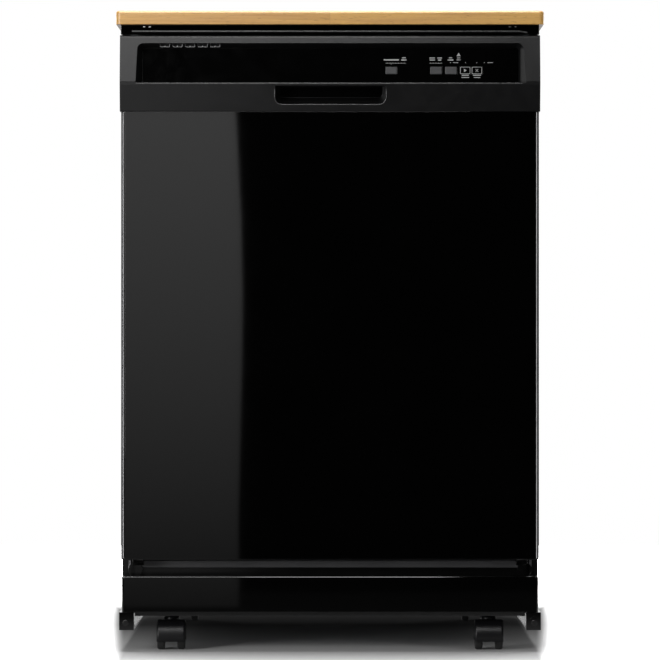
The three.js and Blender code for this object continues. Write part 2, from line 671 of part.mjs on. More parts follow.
/** Flat riser from the sump up the rear wall, with the dock for the upper arm. */
function feedTube() {
  const half = RISER.thick / 2;
  const low = troughFloor + half + GAP;
  const wall = tubRear - half - GAP;
  const dock = waterTubeZ + 2;
  const route = bent([
    [0, SUMP.radius + SUMP.wall + 6, low], [0, troughRear - 18, low],
    [0, troughRear - 18, ledge + 16], [0, wall, ledge + 44], [0, wall, dock + 26],
  ], RISER.bend, 2);
  const section = roundRect([-half, half], [-RISER.wide / 2, RISER.wide / 2], 3, 1);
  const nozzle = prism("y", disc([0, dock], half - 1 + half, 12),
    [upperBasket.rear + waterTubeReach + GAP, wall]);
  return join(bar(route, section), nozzle);
}

function floatCup() {
  const { radius, height, post, postUp } = FLOAT;
  const z = troughFloor + GAP;
  const cup = turned([[0, z], [radius - 3, z], [radius, z + 4], [radius, z + height * 0.6],
    [radius * 0.55, z + height], [0, z + height]], floatAt, 14);
  const bore = turned([[0, z - 1], [post + RUNNING, z - 1],
    [post + RUNNING, z + postUp + 1], [0, z + postUp + 1]], floatAt, 10);
  return cut(cup, bore);
}

const barX = upperBasket.halfX + SLIDE_BAR.wide;

/** Right-hand guide on the tub wall: a plate with two rollers above and two below the bar. */
function rackGuide() {
  const wall = tubX - GAP;
  const z = upperBasket.base + SLIDE_BAR.up;
  const y0 = tubFront + GUIDE.frontIn;
  const reach = SLIDE_BAR.height / 2 + GUIDE.roller + GAP;
  const rollers = [0, 1].flatMap((k) =>
    [-1, 1].map((up) =>
      prism("x", disc([y0 + k * GUIDE.spacing, z + up * reach], GUIDE.roller, 8),
        [barX - GUIDE.overlap, wall - GUIDE.plate + 1])));
  const plate = prism("x", roundRect([y0 - GUIDE.margin, y0 + GUIDE.spacing + GUIDE.margin],
    [z - reach - GUIDE.margin + 2, z + reach + GUIDE.margin - 2], GUIDE.roller, 2),
  [wall - GUIDE.plate, wall]);
  return join(plate, ...rollers);
}

/** Wire staple on the tub flange that the latch closes round. */
function doorStrike() {
  const { width, wire, thick, reach } = STRIKE;
  const rear = tubFront - GAP;
  const z = [strikeZ - thick / 2, strikeZ + thick / 2];
  const staple = cut(
    prism("z", roundRect([-width / 2, width / 2], [rear - reach, rear], 4, 2), z),
    prism("z", roundRect([-width / 2 + wire, width / 2 - wire], [rear - reach + wire, rear - 3],
      2, 1), [z[0] - 1, z[1] + 1]),
  );
  return join(staple, box([-width / 2 - 6, width / 2 + 6], [rear - 2.2, rear],
    [strikeZ - thick, strikeZ + thick]));
}

// ---------------------------------------------------------------------------
// Door
// ---------------------------------------------------------------------------

function doorPanel() {
  const x = doorX;
  const rear = doorRear;
  const { edge } = DOOR;
  const top = panelTop - GAP;
  const skin = prism("z", outline([
    [-x, rear], [-x, doorFront, edge], [x, doorFront, edge], [x, rear], [x - STEEL, rear],
    [x - STEEL, doorFront + STEEL, edge - STEEL], [-x + STEEL, doorFront + STEEL, edge - STEEL],
    [-x + STEEL, rear],
  ], 5), [doorBottom, top]);
  const fold = (z) =>
    cut(
      prism("z", outline([[-x + GAP, doorFront + 2 * edge], [-x + GAP, doorFront, edge],
        [x - GAP, doorFront, edge], [x - GAP, doorFront + 2 * edge]], 5), z),
      box([-x - 1, x + 1], [doorFront + DOOR.fold, doorFront + 2 * edge + 1], [z[0] - 1, z[1] + 1]),
    );
  return join(skin, fold([doorBottom, doorBottom + STEEL]), fold([top - STEEL, top]));
}

/** Section of the console in (Y, Z), its face bulging to the lip under the recess. */
function consoleSection(inset) {
  const rear = doorRear;
  const lipZ = panelTop + RECESS.bottom;
  return outline([
    [rear, panelTop + inset], [doorFront + inset, panelTop + inset, 1],
    [doorFront - CONSOLE.bulge + inset, lipZ - 2, 4],
    [doorFront - CONSOLE.bulge + inset, lipZ + 3, 4],
    [doorFront - CONSOLE.bulge + CONSOLE.lean + inset, consoleTop - inset,
      CONSOLE.shoulder - inset],
    [rear, consoleTop - inset],
  ]);
}

const rectRing = ([x0, x1], y, [z0, z1], radius) =>
  roundRect([x0, x1], [z0, z1], radius).getPoints().map((p) => [p.x, y, p.y]);

function consoleShell() {
  const x = cabinetX;
  const lip = panelTop + RECESS.bottom;
  const face = doorFront - CONSOLE.bulge;
  const floorY = face + RECESS.depth;
  const left = x - RECESS.left;
  const right = x - RECESS.right;
  const { height, draft, radius } = RECESS;
  const body = prism("x", consoleSection(0), [-x, x]);
  const inside = prism("x", consoleSection(WALL), [-x + WALL, x - WALL]);
  const back = box([-x + WALL, x - WALL], [doorRear - 2 * WALL, doorRear + 1],
    [panelTop + WALL, consoleTop - WALL]);

  const recess = (grow, y) =>
    loft(
      rectRing([-left - grow - 2, right + grow + 2], face - 6,
        [lip - grow, lip + height + grow + 2], radius + grow + 1),
      rectRing([-left + draft - grow, right - draft + grow], y,
        [lip + 1.4 - grow, lip + height - draft + grow], radius + grow - 2),
    );
  const pocketTop = lip - POCKET.below;
  const px = [POCKET.x - POCKET.width / 2, POCKET.x + POCKET.width / 2];
  const pocket = (grow, y) =>
    loft(
      rectRing([px[0] - grow, px[1] + grow], face - 6,
        [pocketTop - POCKET.height - grow, pocketTop + grow], POCKET.radius + grow),
      rectRing([px[0] + POCKET.draft - grow, px[1] - POCKET.draft + grow], y,
        [pocketTop - POCKET.height * 0.42 - grow, pocketTop + 1 + grow], 5 + grow),
    );
  const slots = [];
  for (let k = 0; k < VENT_SLOTS.count; k++) {
    const at = -x + VENT_SLOTS.fromLeft + k * VENT_SLOTS.pitch;
    const back = face + VENT_SLOTS.back;
    slots.push(box([at, at + VENT_SLOTS.wide], [back, back + VENT_SLOTS.deep],
      [lip + height - draft - 4, lip + height + 3]));
  }
  const shell = cut(body, inside, back);
  const walls = join(recess(WALL, floorY + WALL), pocket(WALL, face + POCKET.depth + WALL))
    .intersect(prism("x", consoleSection(0.5), [-x + 1, x - 1]));
  return cut(join(shell, walls), recess(0, floorY), pocket(0, face + POCKET.depth), ...slots);
}

const recessFloorY = doorFront - CONSOLE.bulge + RECESS.depth;
const fasciaBottom = panelTop + RECESS.bottom + FASCIA.up;
const buttonZ = panelTop + RECESS.bottom + BUTTON.up;
const buttonShape = ({ fromRight, width, height }, grow = 0) => {
  const x = cabinetX - fromRight;
  return roundRect([x - width / 2 - grow, x + width / 2 + grow],
    [buttonZ - height / 2 - grow, buttonZ + height / 2 + grow], 1.2 + grow, 1);
};

/** Gloss insert on the recess floor, with an opening for each button. */
function controlFascia() {
  const rear = recessFloorY - GAP;
  const x = [RECESS.left + RECESS.draft + FASCIA.left - cabinetX,
    cabinetX - RECESS.right - RECESS.draft - FASCIA.right];
  const plate = prism("y", roundRect(x, [fasciaBottom, fasciaBottom + FASCIA.height],
    FASCIA.corner), [rear - FASCIA.thick, rear]);
  const holes = BUTTONS.map((b) =>
    prism("y", buttonShape(b, RUNNING), [rear - FASCIA.thick - 1, rear + 1]));
  return cut(plate, ...holes);
}

function pushButton(b) {
  const front = recessFloorY - GAP - FASCIA.thick - BUTTON.proud;
  return prism("y", buttonShape(b), [front, front + BUTTON.thick]);
}

/** Circuit board behind the recess, with its larger components. */
function controlBoard() {
  const front = recessFloorY + WALL + GAP;
  const { width, height, thick, chip } = BOARD;
  const x = cabinetX - BOARD.fromRight;
  const z0 = buttonZ - height / 2;
  const plate = box([x - width / 2, x + width / 2], [front, front + thick], [z0, z0 + height]);
  const chips = [-0.36, -0.12, 0.1, 0.34].map((at, i) =>
    box([x + at * width - 8 - i, x + at * width + 8 + i], [front + 1, front + thick + chip - i * 0.6],
      [z0 + 6 + i * 2, z0 + height - 8]));
  return join(plate, ...chips);
}

const dispenserZ = panelTop - DISPENSER.belowTop;
const ventAt = [-(linerX - DOOR_VENT.sideIn), panelTop - DOOR_VENT.belowTop];
const mouthZ = [strikeZ - LATCH.mouth / 2 - 0.5, strikeZ + LATCH.mouth / 2 - 0.5];

/** Inner door: a moulded pan with a sunk field, openings and notches for the hinges. */
function doorLiner() {
  const x = linerX;
  const z = [doorBottom + LINER.foot, consoleTop - LINER.top];
  const front = linerY - LINER.depth;
  const field = ([m, y]) =>
    prism("y", roundRect([-x + LINER.margin - m, x - LINER.margin + m],
      [z[0] + 60 - m, z[1] - 40 + m], 24), y);
  const pan = cut(
    prism("y", roundRect([-x, x], z, LINER.corner), [front, linerY]),
    prism("y", roundRect([-x + WALL, x - WALL], [z[0] + WALL, z[1] - WALL], LINER.corner - 2),
      [front - 1, linerY - WALL]),
  );
  const sunk = cut(join(pan, field([WALL, [linerY - LINER.field - WALL, linerY - 1]])),
    field([0, [linerY - LINER.field, linerY + 1]]));
  const hinges = [-1, 1].map((side) => {
    const a = side * (knuckleX - WALL);
    const b = side * (x + 4);
    return box([Math.min(a, b), Math.max(a, b)], [front - 1, linerY + 1],
      [z[0] - 1, hingeZ + HINGE.knuckle + ARM.rise]);
  });
  const rim = 5;
  const well = box([DISPENSER.x - DISPENSER.width / 2 + rim, DISPENSER.x + DISPENSER.width / 2 - rim],
    [front - 1, linerY + 1],
    [dispenserZ - DISPENSER.height / 2 + rim, dispenserZ + DISPENSER.height / 2 - rim]);
  const ventHole = prism("y", disc(ventAt, DOOR_VENT.radius - rim, 20), [front - 1, linerY + 1]);
  const strikeHole = box([-STRIKE.width / 2 - WALL, STRIKE.width / 2 + WALL],
    [front - 1, linerY + 1], mouthZ);
  const ribs = [0, 1, 2, 3].map((k) => {
    const at = z[0] + 2.4 * LINER.margin + k * 1.8 * LINER.margin;
    return prism("y", roundRect([-x + 2.2 * LINER.margin, x - 2.2 * LINER.margin],
      [at, at + LINER.corner], 4, 2),
      [linerY - LINER.field - 1, linerY - LINER.field + 3]);
  });
  return cut(join(sunk, ...ribs), ...hinges, well, ventHole, strikeHole);
}

/** Right-hand hinge arm: the knuckle round the pin and the arm up inside the door. */
function hingeArm() {
  const x = [knuckleX, knuckleX + HINGE.knuckleWide];
  const top = hingeZ + ARM.height;
  const knuckle = prism("x", disc([hingeY, hingeZ], HINGE.knuckle, 16), x);
  const front = doorFront + STEEL + GAP;
  const arm = prism("x", outline([
    [front, hingeZ + 4], [hingeY + 4, hingeZ + 4], [hingeY + 4, hingeZ + 1.5 * HINGE.knuckle],
    [front + 2.5 * ARM.thick, top, 6], [front, top, 6],
  ]), [x[0] + 2, x[0] + 2 + ARM.thick]);
  const flange = box([x[0] - ARM.flange, x[1] - 2], [front, front + ARM.thick / 2],
    [hingeZ + 1.3 * HINGE.knuckle, top]);
  const bore = prism("x", disc([hingeY, hingeZ], HINGE.pin + RUNNING, 12), [x[0] - 20, x[1] + 9]);
  return cut(join(knuckle, arm, flange), bore);
}

/** Latch in the top of the door: a block whose mouth takes the strike. */
function doorLatch() {
  const rear = doorRear;
  const z = [consoleTop - WALL - GAP - LATCH.height, consoleTop - WALL - GAP];
  const block = box([-LATCH.width / 2, LATCH.width / 2], [rear - LATCH.deep, rear], z);
  const mouth = box([-STRIKE.width / 2 - WALL, STRIKE.width / 2 + WALL],
    [rear - LATCH.deep + WALL + 1, rear + 1], mouthZ);
  return cut(block, mouth);
}

function doorVent() {
  const { radius, proud, rings } = DOOR_VENT;
  const [x, z] = ventAt;
  const face = linerY - LINER.field;
  const flange = prism("y", disc([x, z], radius, 18), [face + GAP, face + GAP + proud]);
  const neck = prism("y", disc([x, z], radius - 6, 18), [face - 7, face + 1]);
  const way = prism("y", disc([x, z], radius - 9, 18), [face - 8, face + proud + 2]);
  const louvres = [];
  for (let k = -rings; k <= rings; k++)
    louvres.push(box([x - radius + 4, x + radius - 4], [face - 6, face + 3],
      [z + k * 13 - 1.6, z + k * 13 + 1.6])
      .intersect(prism("y", disc([x, z], radius - 7, 18), [face - 7, face + 4])));
  return join(cut(join(flange, neck), way), ...louvres);
}

const lidFront = linerY + DISPENSER.proud + GAP;
const cupX = DISPENSER.x + CUP.x;
const cupZ = dispenserZ + CUP.z;

/** Dispenser body: frame on the liner, with the detergent cup and the rinse-aid port. */
function dispenserBody() {
  const { x, width, height, proud, depth } = DISPENSER;
  const z = dispenserZ;
  const seat = linerY - LINER.field + GAP;
  const plate = prism("y", roundRect([x - width / 2, x + width / 2], [z - height / 2, z + height / 2],
    10), [seat, linerY + proud]);
  const back = box([x - width / 2 + 7, x + width / 2 - 7], [linerY - depth, seat + 1],
    [z - height / 2 + 7, z + height / 2 - 7]);
  const cup = prism("y", roundRect([cupX - CUP.width / 2, cupX + CUP.width / 2],
    [cupZ - CUP.height / 2, cupZ + CUP.height / 2], 8), [linerY + proud - CUP.deep, linerY + 9]);
  const port = prism("y", disc([x + CAP.x, z + CAP.z], CAP.plug + RUNNING, 14),
    [lidFront - 7, linerY + 9]);
  const track = [-1, 1].map((up) =>
    box([x - width / 2 + 6, x + width / 2 - 6], [linerY + proud - 1, linerY + proud + CUP.lid + 1],
      [cupZ + up * (CUP.height / 2 + 6.5) - 1.5, cupZ + up * (CUP.height / 2 + 6.5) + 1.5]));
  return join(cut(join(plate, back), cup, port), ...track);
}

function dispenserLid() {
  const half = [CUP.width / 2 + 3, CUP.height / 2 + 4];
  const plate = prism("y", roundRect([cupX - half[0], cupX + half[0]],
    [cupZ - half[1], cupZ + half[1]], 4, 2), [lidFront, lidFront + CUP.lid]);
  const grip = box([cupX - half[0] + 6, cupX - half[0] + 10], [lidFront + CUP.lid - 1,
    lidFront + CUP.lid + 4], [cupZ - 14, cupZ + 14]);
  return join(plate, grip);
}

function rinseCap() {
  const { x, z, radius, proud } = CAP;
  const at = [DISPENSER.x + x, dispenserZ + z];
  const head = prism("y", disc(at, radius, 20), [lidFront, lidFront + proud]);
  const plug = prism("y", disc(at, CAP.plug, 14), [lidFront - 5, lidFront + 1]);
  const grip = box([at[0] - radius + 2, at[0] + radius - 2], [lidFront + proud - 1,
    lidFront + proud + 4], [at[1] - 1.6, at[1] + 1.6]);
  return join(head, plug, grip);
}

// ---------------------------------------------------------------------------
// Racks and spray arms
// ---------------------------------------------------------------------------

/** Evenly spaced values from a to b. */
function spread(count, a, b) {
  return Array.from({ length: count }, (_, k) => a + ((b - a) * k) / (count - 1));
}

/** Closed hoop of four-sided wire, flat in Z, following a rounded rectangle. */
function hoop({ halfX, front, rear }, z) {
  const half = WIRE.size / 2;
  const rail = (inset, up) =>
    roundRect([-halfX + inset, halfX - inset], [front + inset, rear - inset],
      WIRE.bend + half - inset, 2).getPoints().map((p) => [p.x, p.y, z + up]);
  const rails = [rail(0, 0), rail(half, half), rail(2 * half, 0), rail(half, -half)];
  const count = rails[0].length;
  const index = [];
  for (let r = 0; r < 4; r++)
    for (let k = 0; k < count; k++) {
      const next = (k + 1) % count;
      const [a, b] = [r * count + k, r * count + next];
      const [c, d] = [((r + 1) % 4) * count + next, ((r + 1) % 4) * count + k];
      index.push(a, b, c, a, c, d);
    }
  const geometry = new THREE.BufferGeometry();
  geometry.setAttribute("position", new THREE.Float32BufferAttribute(rails.flat(2), 3));
  geometry.setIndex(index);
  return solid(geometry);
}

/** Where the wires of a rack lie: inside the hoops, lapped by the weld. */
function wirePlaces({ halfX, front, rear, cross, long }) {
  const lap = WIRE.size - WIRE.weld;
  const inset = WIRE.size / 2 + lap;
  const edge = WIRE.bend + WIRE.size * 2;
  return {
    lap,
    x: halfX - inset,
    y: [front + inset, rear - inset],
    across: spread(cross, front + inset + edge, rear - inset - edge),
    along: spread(long, -halfX + inset + edge, halfX - inset - edge),
  };
}

/** Wire basket: U-bent wires both ways, welded where they cross, inside two hoops. */
function wireBasket(rack) {
  const { base, rim } = rack;
  const place = wirePlaces(rack);
  const wire = (corners) => bar(bent(corners, WIRE.bend, 1), disc([0, 0], WIRE.size / 2, 4));
  const across = place.across.map((y) =>
    wire([[-place.x, y, rim], [-place.x, y, base + place.lap], [place.x, y, base + place.lap],
      [place.x, y, rim]]));
  const along = place.along.map((x) =>
    wire([[x, place.y[0], rim], [x, place.y[0], base], [x, place.y[1], base],
      [x, place.y[1], rim]]));
  const hoops = [rim - WIRE.size, (rim + base) / 2].map((z) => hoop(rack, z));
  return join(...hoops, ...across, ...along);
}

/** Upright prongs in rows, standing on the along wires. */
function tines(rack, xs, ys, height) {
  const foot = rack.base + WIRE.size / 2 - WIRE.weld;
  return xs.flatMap((x) =>
    ys.map((y) => prism("z", disc([x, y], WIRE.size / 2, 3), [foot, foot + height])));
}

const axleZ = ledge + GAP + RACK_WHEEL.radius;
const axleY = (end) =>
  end < 0 ? lowerBasket.front + RACK_WHEEL.inset : lowerBasket.rear - RACK_WHEEL.inset;
const wheelX = lowerBasket.halfX + 2;
const basketX = [lowerBasket.halfX - BASKET.sideIn - BASKET.width / 2,
  lowerBasket.halfX - BASKET.sideIn + BASKET.width / 2];

function lowerRack() {
  const basket = wireBasket(lowerBasket);
  const xs = wirePlaces(lowerBasket).along.filter((x, i) => i % 2 === 0 && x < basketX[0]);
  const ys = spread(TINES.perRow, lowerBasket.front + TINES.inset, lowerBasket.rear - TINES.inset);
  const lugs = [-1, 1].flatMap((side) =>
    [-1, 1].flatMap((end) => {
      const y = axleY(end);
      const half = RACK_WHEEL.lugThick / 2;
      const at = side * (lowerBasket.halfX - half);
      const tip = side * (wheelX + 2 + RACK_WHEEL.width);
      return [
        box([at - half, at + half], [y - RACK_WHEEL.lug / 2, y + RACK_WHEEL.lug / 2],
          [axleZ - 2 * RACK_WHEEL.axle, (lowerBasket.base + lowerBasket.rim) / 2 + 2]),
        prism("x", disc([y, axleZ], RACK_WHEEL.axle, 6), [Math.min(at, tip), Math.max(at, tip)]),
      ];
    }));
  return join(basket, ...tines(lowerBasket, xs, ys, TINES.height), ...lugs);
}

function rackWheel(end) {
  const y = axleY(end);
  const z = axleZ;
  const x0 = wheelX;
  const rim = prism("x", disc([y, z], RACK_WHEEL.radius, 16), [x0, x0 + RACK_WHEEL.width]);
  const bore = prism("x", disc([y, z], RACK_WHEEL.axle + RUNNING, 8),
    [x0 - 1, x0 + RACK_WHEEL.width + 1]);
  return cut(rim, bore);
}

/** Upper rack with its side bars and the water tube that carries the upper arm. */
function upperRack() {
  const { base, rear, front, halfX } = upperBasket;
  const basket = wireBasket(upperBasket);
  const xs = wirePlaces(upperBasket).along;
  const ys = spread(TINES.perRow - 1, front + TINES.inset, rear - TINES.inset);
  const z = base + SLIDE_BAR.up;
  const half = SLIDE_BAR.height / 2;
  const bars = [-1, 1].map((side) => {
    const a = side * (halfX - SLIDE_BAR.lap);
    const b = side * barX;
    return box([Math.min(a, b), Math.max(a, b)], [front + 4, rear - 4], [z - half, z + half]);
  });
  const tube = prism("y", roundRect([-WATER_TUBE.wide / 2, WATER_TUBE.wide / 2], waterTube, 5, 1),
    [WATER_TUBE.front, rear + waterTubeReach]);
  const hangerY = [WATER_TUBE.front + 6, rear - 2 * WATER_TUBE.wide].map((y) => [y, y + 12]);
  const hangers = hangerY.map((y) =>
    box([-WATER_TUBE.hanger / 2, WATER_TUBE.hanger / 2], y, [waterTube[1] - 4, base + 1]));
  const feet = xs.filter((x) => Math.abs(x) < xs.at(-1) / 2);
  const saddle = hangerY.map((y) => box([feet[0] - 2, feet.at(-1) + 2], y, [base - 4, base + 1]));
  const tip = waterTube[0] - UPPER_ARM.pivot;
  const pivot = turned([[0, tip], [SPRAY.blade, tip], [SPRAY.blade, waterTube[0] + 2],
    [0, waterTube[0] + 2]], [0, 0], 12);
  return join(basket, ...tines(upperBasket, [xs[1], xs[5]], ys, TINES.low),
    ...bars, tube, ...hangers, ...saddle, pivot);
}

/** Two-bladed spray arm about the Z axis, with raised nozzles and a bore at its hub. */
function sprayArm(length, bottom, bore, boreDepth) {
  const { thick, root, tip, hub, nozzles } = SPRAY;
  const blade = (side) =>
    prism("z", outline([
      [0, -root], [side * length * 0.55, -root * 0.8], [side * (length - 10), -tip, 8],
      [side * length, 0, 6], [side * (length - 10), tip, 8], [side * length * 0.55, root * 0.8],
      [0, root],
    ].map(([u, v, r]) => [u, v, r ?? 0])), [bottom + 2, bottom + thick - 2]);
  const centre = turned([[0, bottom], [hub - 3, bottom], [hub, bottom + 3],
    [hub, bottom + thick - 3], [hub - 6, bottom + thick], [0, bottom + thick]], [0, 0], 12);
  const jets = [-1, 1].flatMap((side) =>
    spread(nozzles, 0.24, 0.92).map((at, i) =>
      turned([[0, bottom + thick - 4], [5, bottom + thick - 4], [0, bottom + thick]],
        [side * at * length, side * (i % 2 ? 5 : -5)], 5)));
  const hole = turned([[0, bottom + boreDepth[0]], [bore, bottom + boreDepth[0]],
    [bore, bottom + boreDepth[1]], [0, bottom + boreDepth[1]]], [0, 0], 12);
  return cut(join(blade(1), blade(-1), centre, ...jets), hole);
}

/** Cutlery basket: slotted walls, two columns of cells and a bridge handle. */
function cutleryBasket() {
  const { width, length, height, wall, cells } = BASKET;
  const z0 = lowerBasket.base + WIRE.size * 1.5 - WIRE.weld + GAP;
  const xs = basketX;
  const y = lowerBasket.front + BASKET.frontIn;
  const ys = [y - length / 2, y + length / 2];
  const outer = prism("z", roundRect(xs, ys, 8, 2), [z0, z0 + height]);
  const pitch = (length - wall) / cells;
  const pockets = [];
  for (let k = 0; k < cells; k++)
    for (const side of [0, 1]) {
      const a = xs[0] + wall + side * ((width - wall) / 2);
      const b = ys[0] + wall + k * pitch;
      pockets.push(box([a, a + (width - wall) / 2 - wall], [b, b + pitch - wall],
        [z0 + wall, z0 + height + 1]));
    }
  const slots = [];
  for (let k = 0; k < cells; k++) {
    const b = ys[0] + (k + 0.5) * pitch + wall / 2;
    slots.push(box([xs[0] - 1, xs[1] + 1], [b - 5, b + 5], [z0 + 22, z0 + height - 24]));
  }
  const mid = (xs[0] + xs[1]) / 2;
  const handle = prism("x", handleOutline(ys, z0 + height),
    [mid - BASKET_GRIP.wide / 2, mid + BASKET_GRIP.wide / 2]);
  const divider = box([mid - wall / 2, mid + wall / 2], [ys[0] + 1, ys[1] - 1],
    [z0 + 1, z0 + height]);
  return join(cut(outer, ...pockets, ...slots), divider, handle);
}

/** Outline of the basket's bridge handle with its finger opening. */
function handleOutline([y0, y1], z) {
  const { inset, slope, rise, bar: thick } = BASKET_GRIP;
  const foot = 1.6 * thick;
  const low = z - thick / 2;
  return outline([
    [y0 + inset, low], [y0 + inset, z], [y0 + inset + slope, z + rise, 12],
    [y1 - inset - slope, z + rise, 12], [y1 - inset, z], [y1 - inset, low],
    [y1 - inset - foot, low], [y1 - inset - foot, z],
    [y1 - inset - slope - 0.8 * thick, z + rise - thick, 6],
    [y0 + inset + slope + 0.8 * thick, z + rise - thick, 6], [y0 + inset + foot, z],
    [y0 + inset + foot, low],
  ]);
}

// ---------------------------------------------------------------------------
// Casters, about their own stem axis
// ---------------------------------------------------------------------------

/** Hood of a twin-wheel caster: web, fender over both wheels, boss and stem. */
function casterHood() {
  const half = WHEEL.gap / 2 + WHEEL.width + HOOD.over;
  const radius = WHEEL.radius + HOOD.cover;
  const at = [CASTER.trail, WHEEL.radius];
  const reach = radius + 4;
  const round = prism("x", disc(at, radius, 16), [-half, half]);
  const nose = prism("x", outline([
    [CASTER.trail - radius + 1.5, WHEEL.radius], [CASTER.trail, WHEEL.radius],
    [CASTER.trail + 4, CASTER.height - 5, 6], [-CASTER.boss + 1, CASTER.height - 6, 7],
  ]), [-half + 6, half - 6]);
  const below = box([-half - 1, half + 1], [CASTER.trail - reach, CASTER.trail + reach],
    [WHEEL.radius - reach, HOOD.bottom]);
  const wells = [-1, 1].map((side) => {
    const a = side * (WHEEL.gap / 2 - 1);
    const b = side * (half + 1);
    return prism("x", disc(at, WHEEL.radius + HOOD.rim, 16), [Math.min(a, b), Math.max(a, b)]);
  });
  const low = CASTER.height - CASTER.bossDeep;
  const top = CASTER.height + CASTER.stemUp;
  const boss = turned([[0, low], [CASTER.boss, low],
    [CASTER.boss, CASTER.height - 1.5], [CASTER.boss - 1.5, CASTER.height], [0, CASTER.height]],
  [0, 0], 12);
  const stem = turned([[0, CASTER.height - 2], [CASTER.stem, CASTER.height - 2],
    [CASTER.stem, top - 0.5], [CASTER.stem - 1.5, top], [0, top]], [0, 0], 10);
  const bore = prism("x", disc(at, WHEEL.axle + RUNNING, 10), [-half, half]);
  return join(cut(join(round, nose, boss), below, ...wells, bore), stem);
}

/** Two wheels on their axle, turned about the caster's wheel axis. */
function casterWheels() {
  const { radius, width, gap, axle, bevel, facets } = WHEEL;
  const a = gap / 2;
  const b = a + width;
  const rim = radius / Math.cos(Math.PI / facets);
  const side = [[axle, a], [rim, a], [rim, b - bevel], [rim - bevel, b], [0, b]];
  const profile = [...side.map(([r, x]) => [r, -x]).reverse(), ...side];
  const points = profile.map(([r, x]) => new THREE.Vector2(r, x));
  const geometry = new THREE.LatheGeometry(points, facets).rotateZ(-Math.PI / 2);
  return solid(geometry.rotateX(Math.PI / facets));
}

// ---------------------------------------------------------------------------
// Assembly
// ---------------------------------------------------------------------------

add("wood_top", worktop(), wood());
add("top_frame", topFrame(), satinBlack());
add("side_panel_right", sidePanel(), blackSteel());
add("side_panel_left", sidePanel(), blackSteel(), { mirrored: true });
add("rear_panel", rearPanel(), blackSteel());

add("base_rail_right", baseRail(), blackSteel());
add("base_rail_left", baseRail(), blackSteel(), { mirrored: true });
add("caster_beam_front", casterBeam(-1), zinc());
add("caster_beam_rear", casterBeam(1), zinc());
add("drip_pan", dripPan(), zinc());
add("kick_panel", kickPanel(), blackSteel());
add("toe_panel", toePanel(), blackSteel());

add("tub", tub(), paleGrey());
add("tub_seal", tubSeal(), rubber());
add("sump", sump(), greyPlastic());
add("filter", filter(), greyPlastic());
const washPump = pump(PUMP, -1);
add("wash_pump", washPump.made, motorGrey(), { mirrored: washPump.mirrored });
const drainPump = pump(DRAIN, 1);
add("drain_pump", drainPump.made, motorGrey(), { mirrored: drainPump.mirrored });
add("inlet_valve", inletValve(), nylon());
add("heating_element", heatingElement(), stainless());
add("feed_tube", feedTube(), greyPlastic());
add("float_cup", floatCup(), paleGrey());
add("rack_guide_right", rackGuide(), nylon());
add("rack_guide_left", rackGuide(), nylon(), { mirrored: true });
add("door_strike", doorStrike(), zinc());

add("door_panel", doorPanel(), glossBlack());
add("console", consoleShell(), satinBlack());
add("control_fascia", controlFascia(), fasciaBlack());
for (const b of BUTTONS) add(b.name, pushButton(b), buttonGrey());
add("control_board", controlBoard(), board());
add("door_liner", doorLiner(), paleGrey());
add("hinge_arm_right", hingeArm(), zinc());
add("hinge_arm_left", hingeArm(), zinc(), { mirrored: true });
add("door_latch", doorLatch(), greyPlastic());
add("door_vent", doorVent(), greyPlastic());
add("dispenser_body", dispenserBody(), greyPlastic());
add("dispenser_lid", dispenserLid(), greyPlastic());
add("rinse_cap", rinseCap(), nylon());

add("lower_rack", lowerRack(), nylon());
for (const [sideName, side] of [["right", 1], ["left", -1]])
  for (const [endName, end] of [["front", -1], ["rear", 1]])
    add("rack_wheel_" + endName + "_" + sideName, rackWheel(end), greyPlastic(),
      { mirrored: side < 0 });
add("cutlery_basket", cutleryBasket(), greyPlastic());
add("lower_spray_arm", sprayArm(lowerArm.length, lowerArm.bottom, SUMP.post + RUNNING,
  [-1, SPRAY.thick - 2]), greyPlastic());
add("upper_rack", upperRack(), nylon());
add("upper_spray_arm", sprayArm(upperArm.length, upperArm.bottom, SPRAY.blade + RUNNING,
  [SPRAY.thick - UPPER_ARM.pivot - 2, SPRAY.thick + 1]), greyPlastic());

for (const [sideName, side] of [["right", 1], ["left", -1]])
  for (const [endName, end] of [["front", -1], ["rear", 1]]) {
    const caster = new THREE.Group();
    caster.position.set(side * casterX, casterY(end), 0);
    caster.rotation.z = end < 0 ? Math.PI : 0;
    group.add(caster);
    add("caster_hood_" + endName + "_" + sideName, casterHood(), casterBlack(),
      { parent: caster });
    const wheels = add("caster_wheels_" + endName + "_" + sideName, casterWheels(),
      treadBlack(), { parent: caster });
    wheels.position.set(0, CASTER.trail, WHEEL.radius);
  }

export default group;
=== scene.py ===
import json
import math

import bmesh
import bpy
from mathutils import Matrix, Vector


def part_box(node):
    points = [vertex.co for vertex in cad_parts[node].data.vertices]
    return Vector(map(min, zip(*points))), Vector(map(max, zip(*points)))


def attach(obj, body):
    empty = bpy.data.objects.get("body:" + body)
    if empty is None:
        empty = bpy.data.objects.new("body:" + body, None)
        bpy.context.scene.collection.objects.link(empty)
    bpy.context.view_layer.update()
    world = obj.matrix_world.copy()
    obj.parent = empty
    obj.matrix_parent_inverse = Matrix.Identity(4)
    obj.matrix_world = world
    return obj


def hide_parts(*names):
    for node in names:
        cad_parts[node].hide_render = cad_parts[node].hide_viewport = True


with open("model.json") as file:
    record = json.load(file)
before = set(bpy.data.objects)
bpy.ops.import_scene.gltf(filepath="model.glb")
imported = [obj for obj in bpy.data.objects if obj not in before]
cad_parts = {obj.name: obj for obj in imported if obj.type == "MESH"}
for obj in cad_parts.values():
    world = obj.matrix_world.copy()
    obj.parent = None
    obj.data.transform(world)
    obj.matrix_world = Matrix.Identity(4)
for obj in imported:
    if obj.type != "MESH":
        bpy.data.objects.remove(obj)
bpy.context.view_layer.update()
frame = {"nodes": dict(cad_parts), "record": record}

MM = 0.001

# ---- Levels and planes of the machine, in millimetres ----

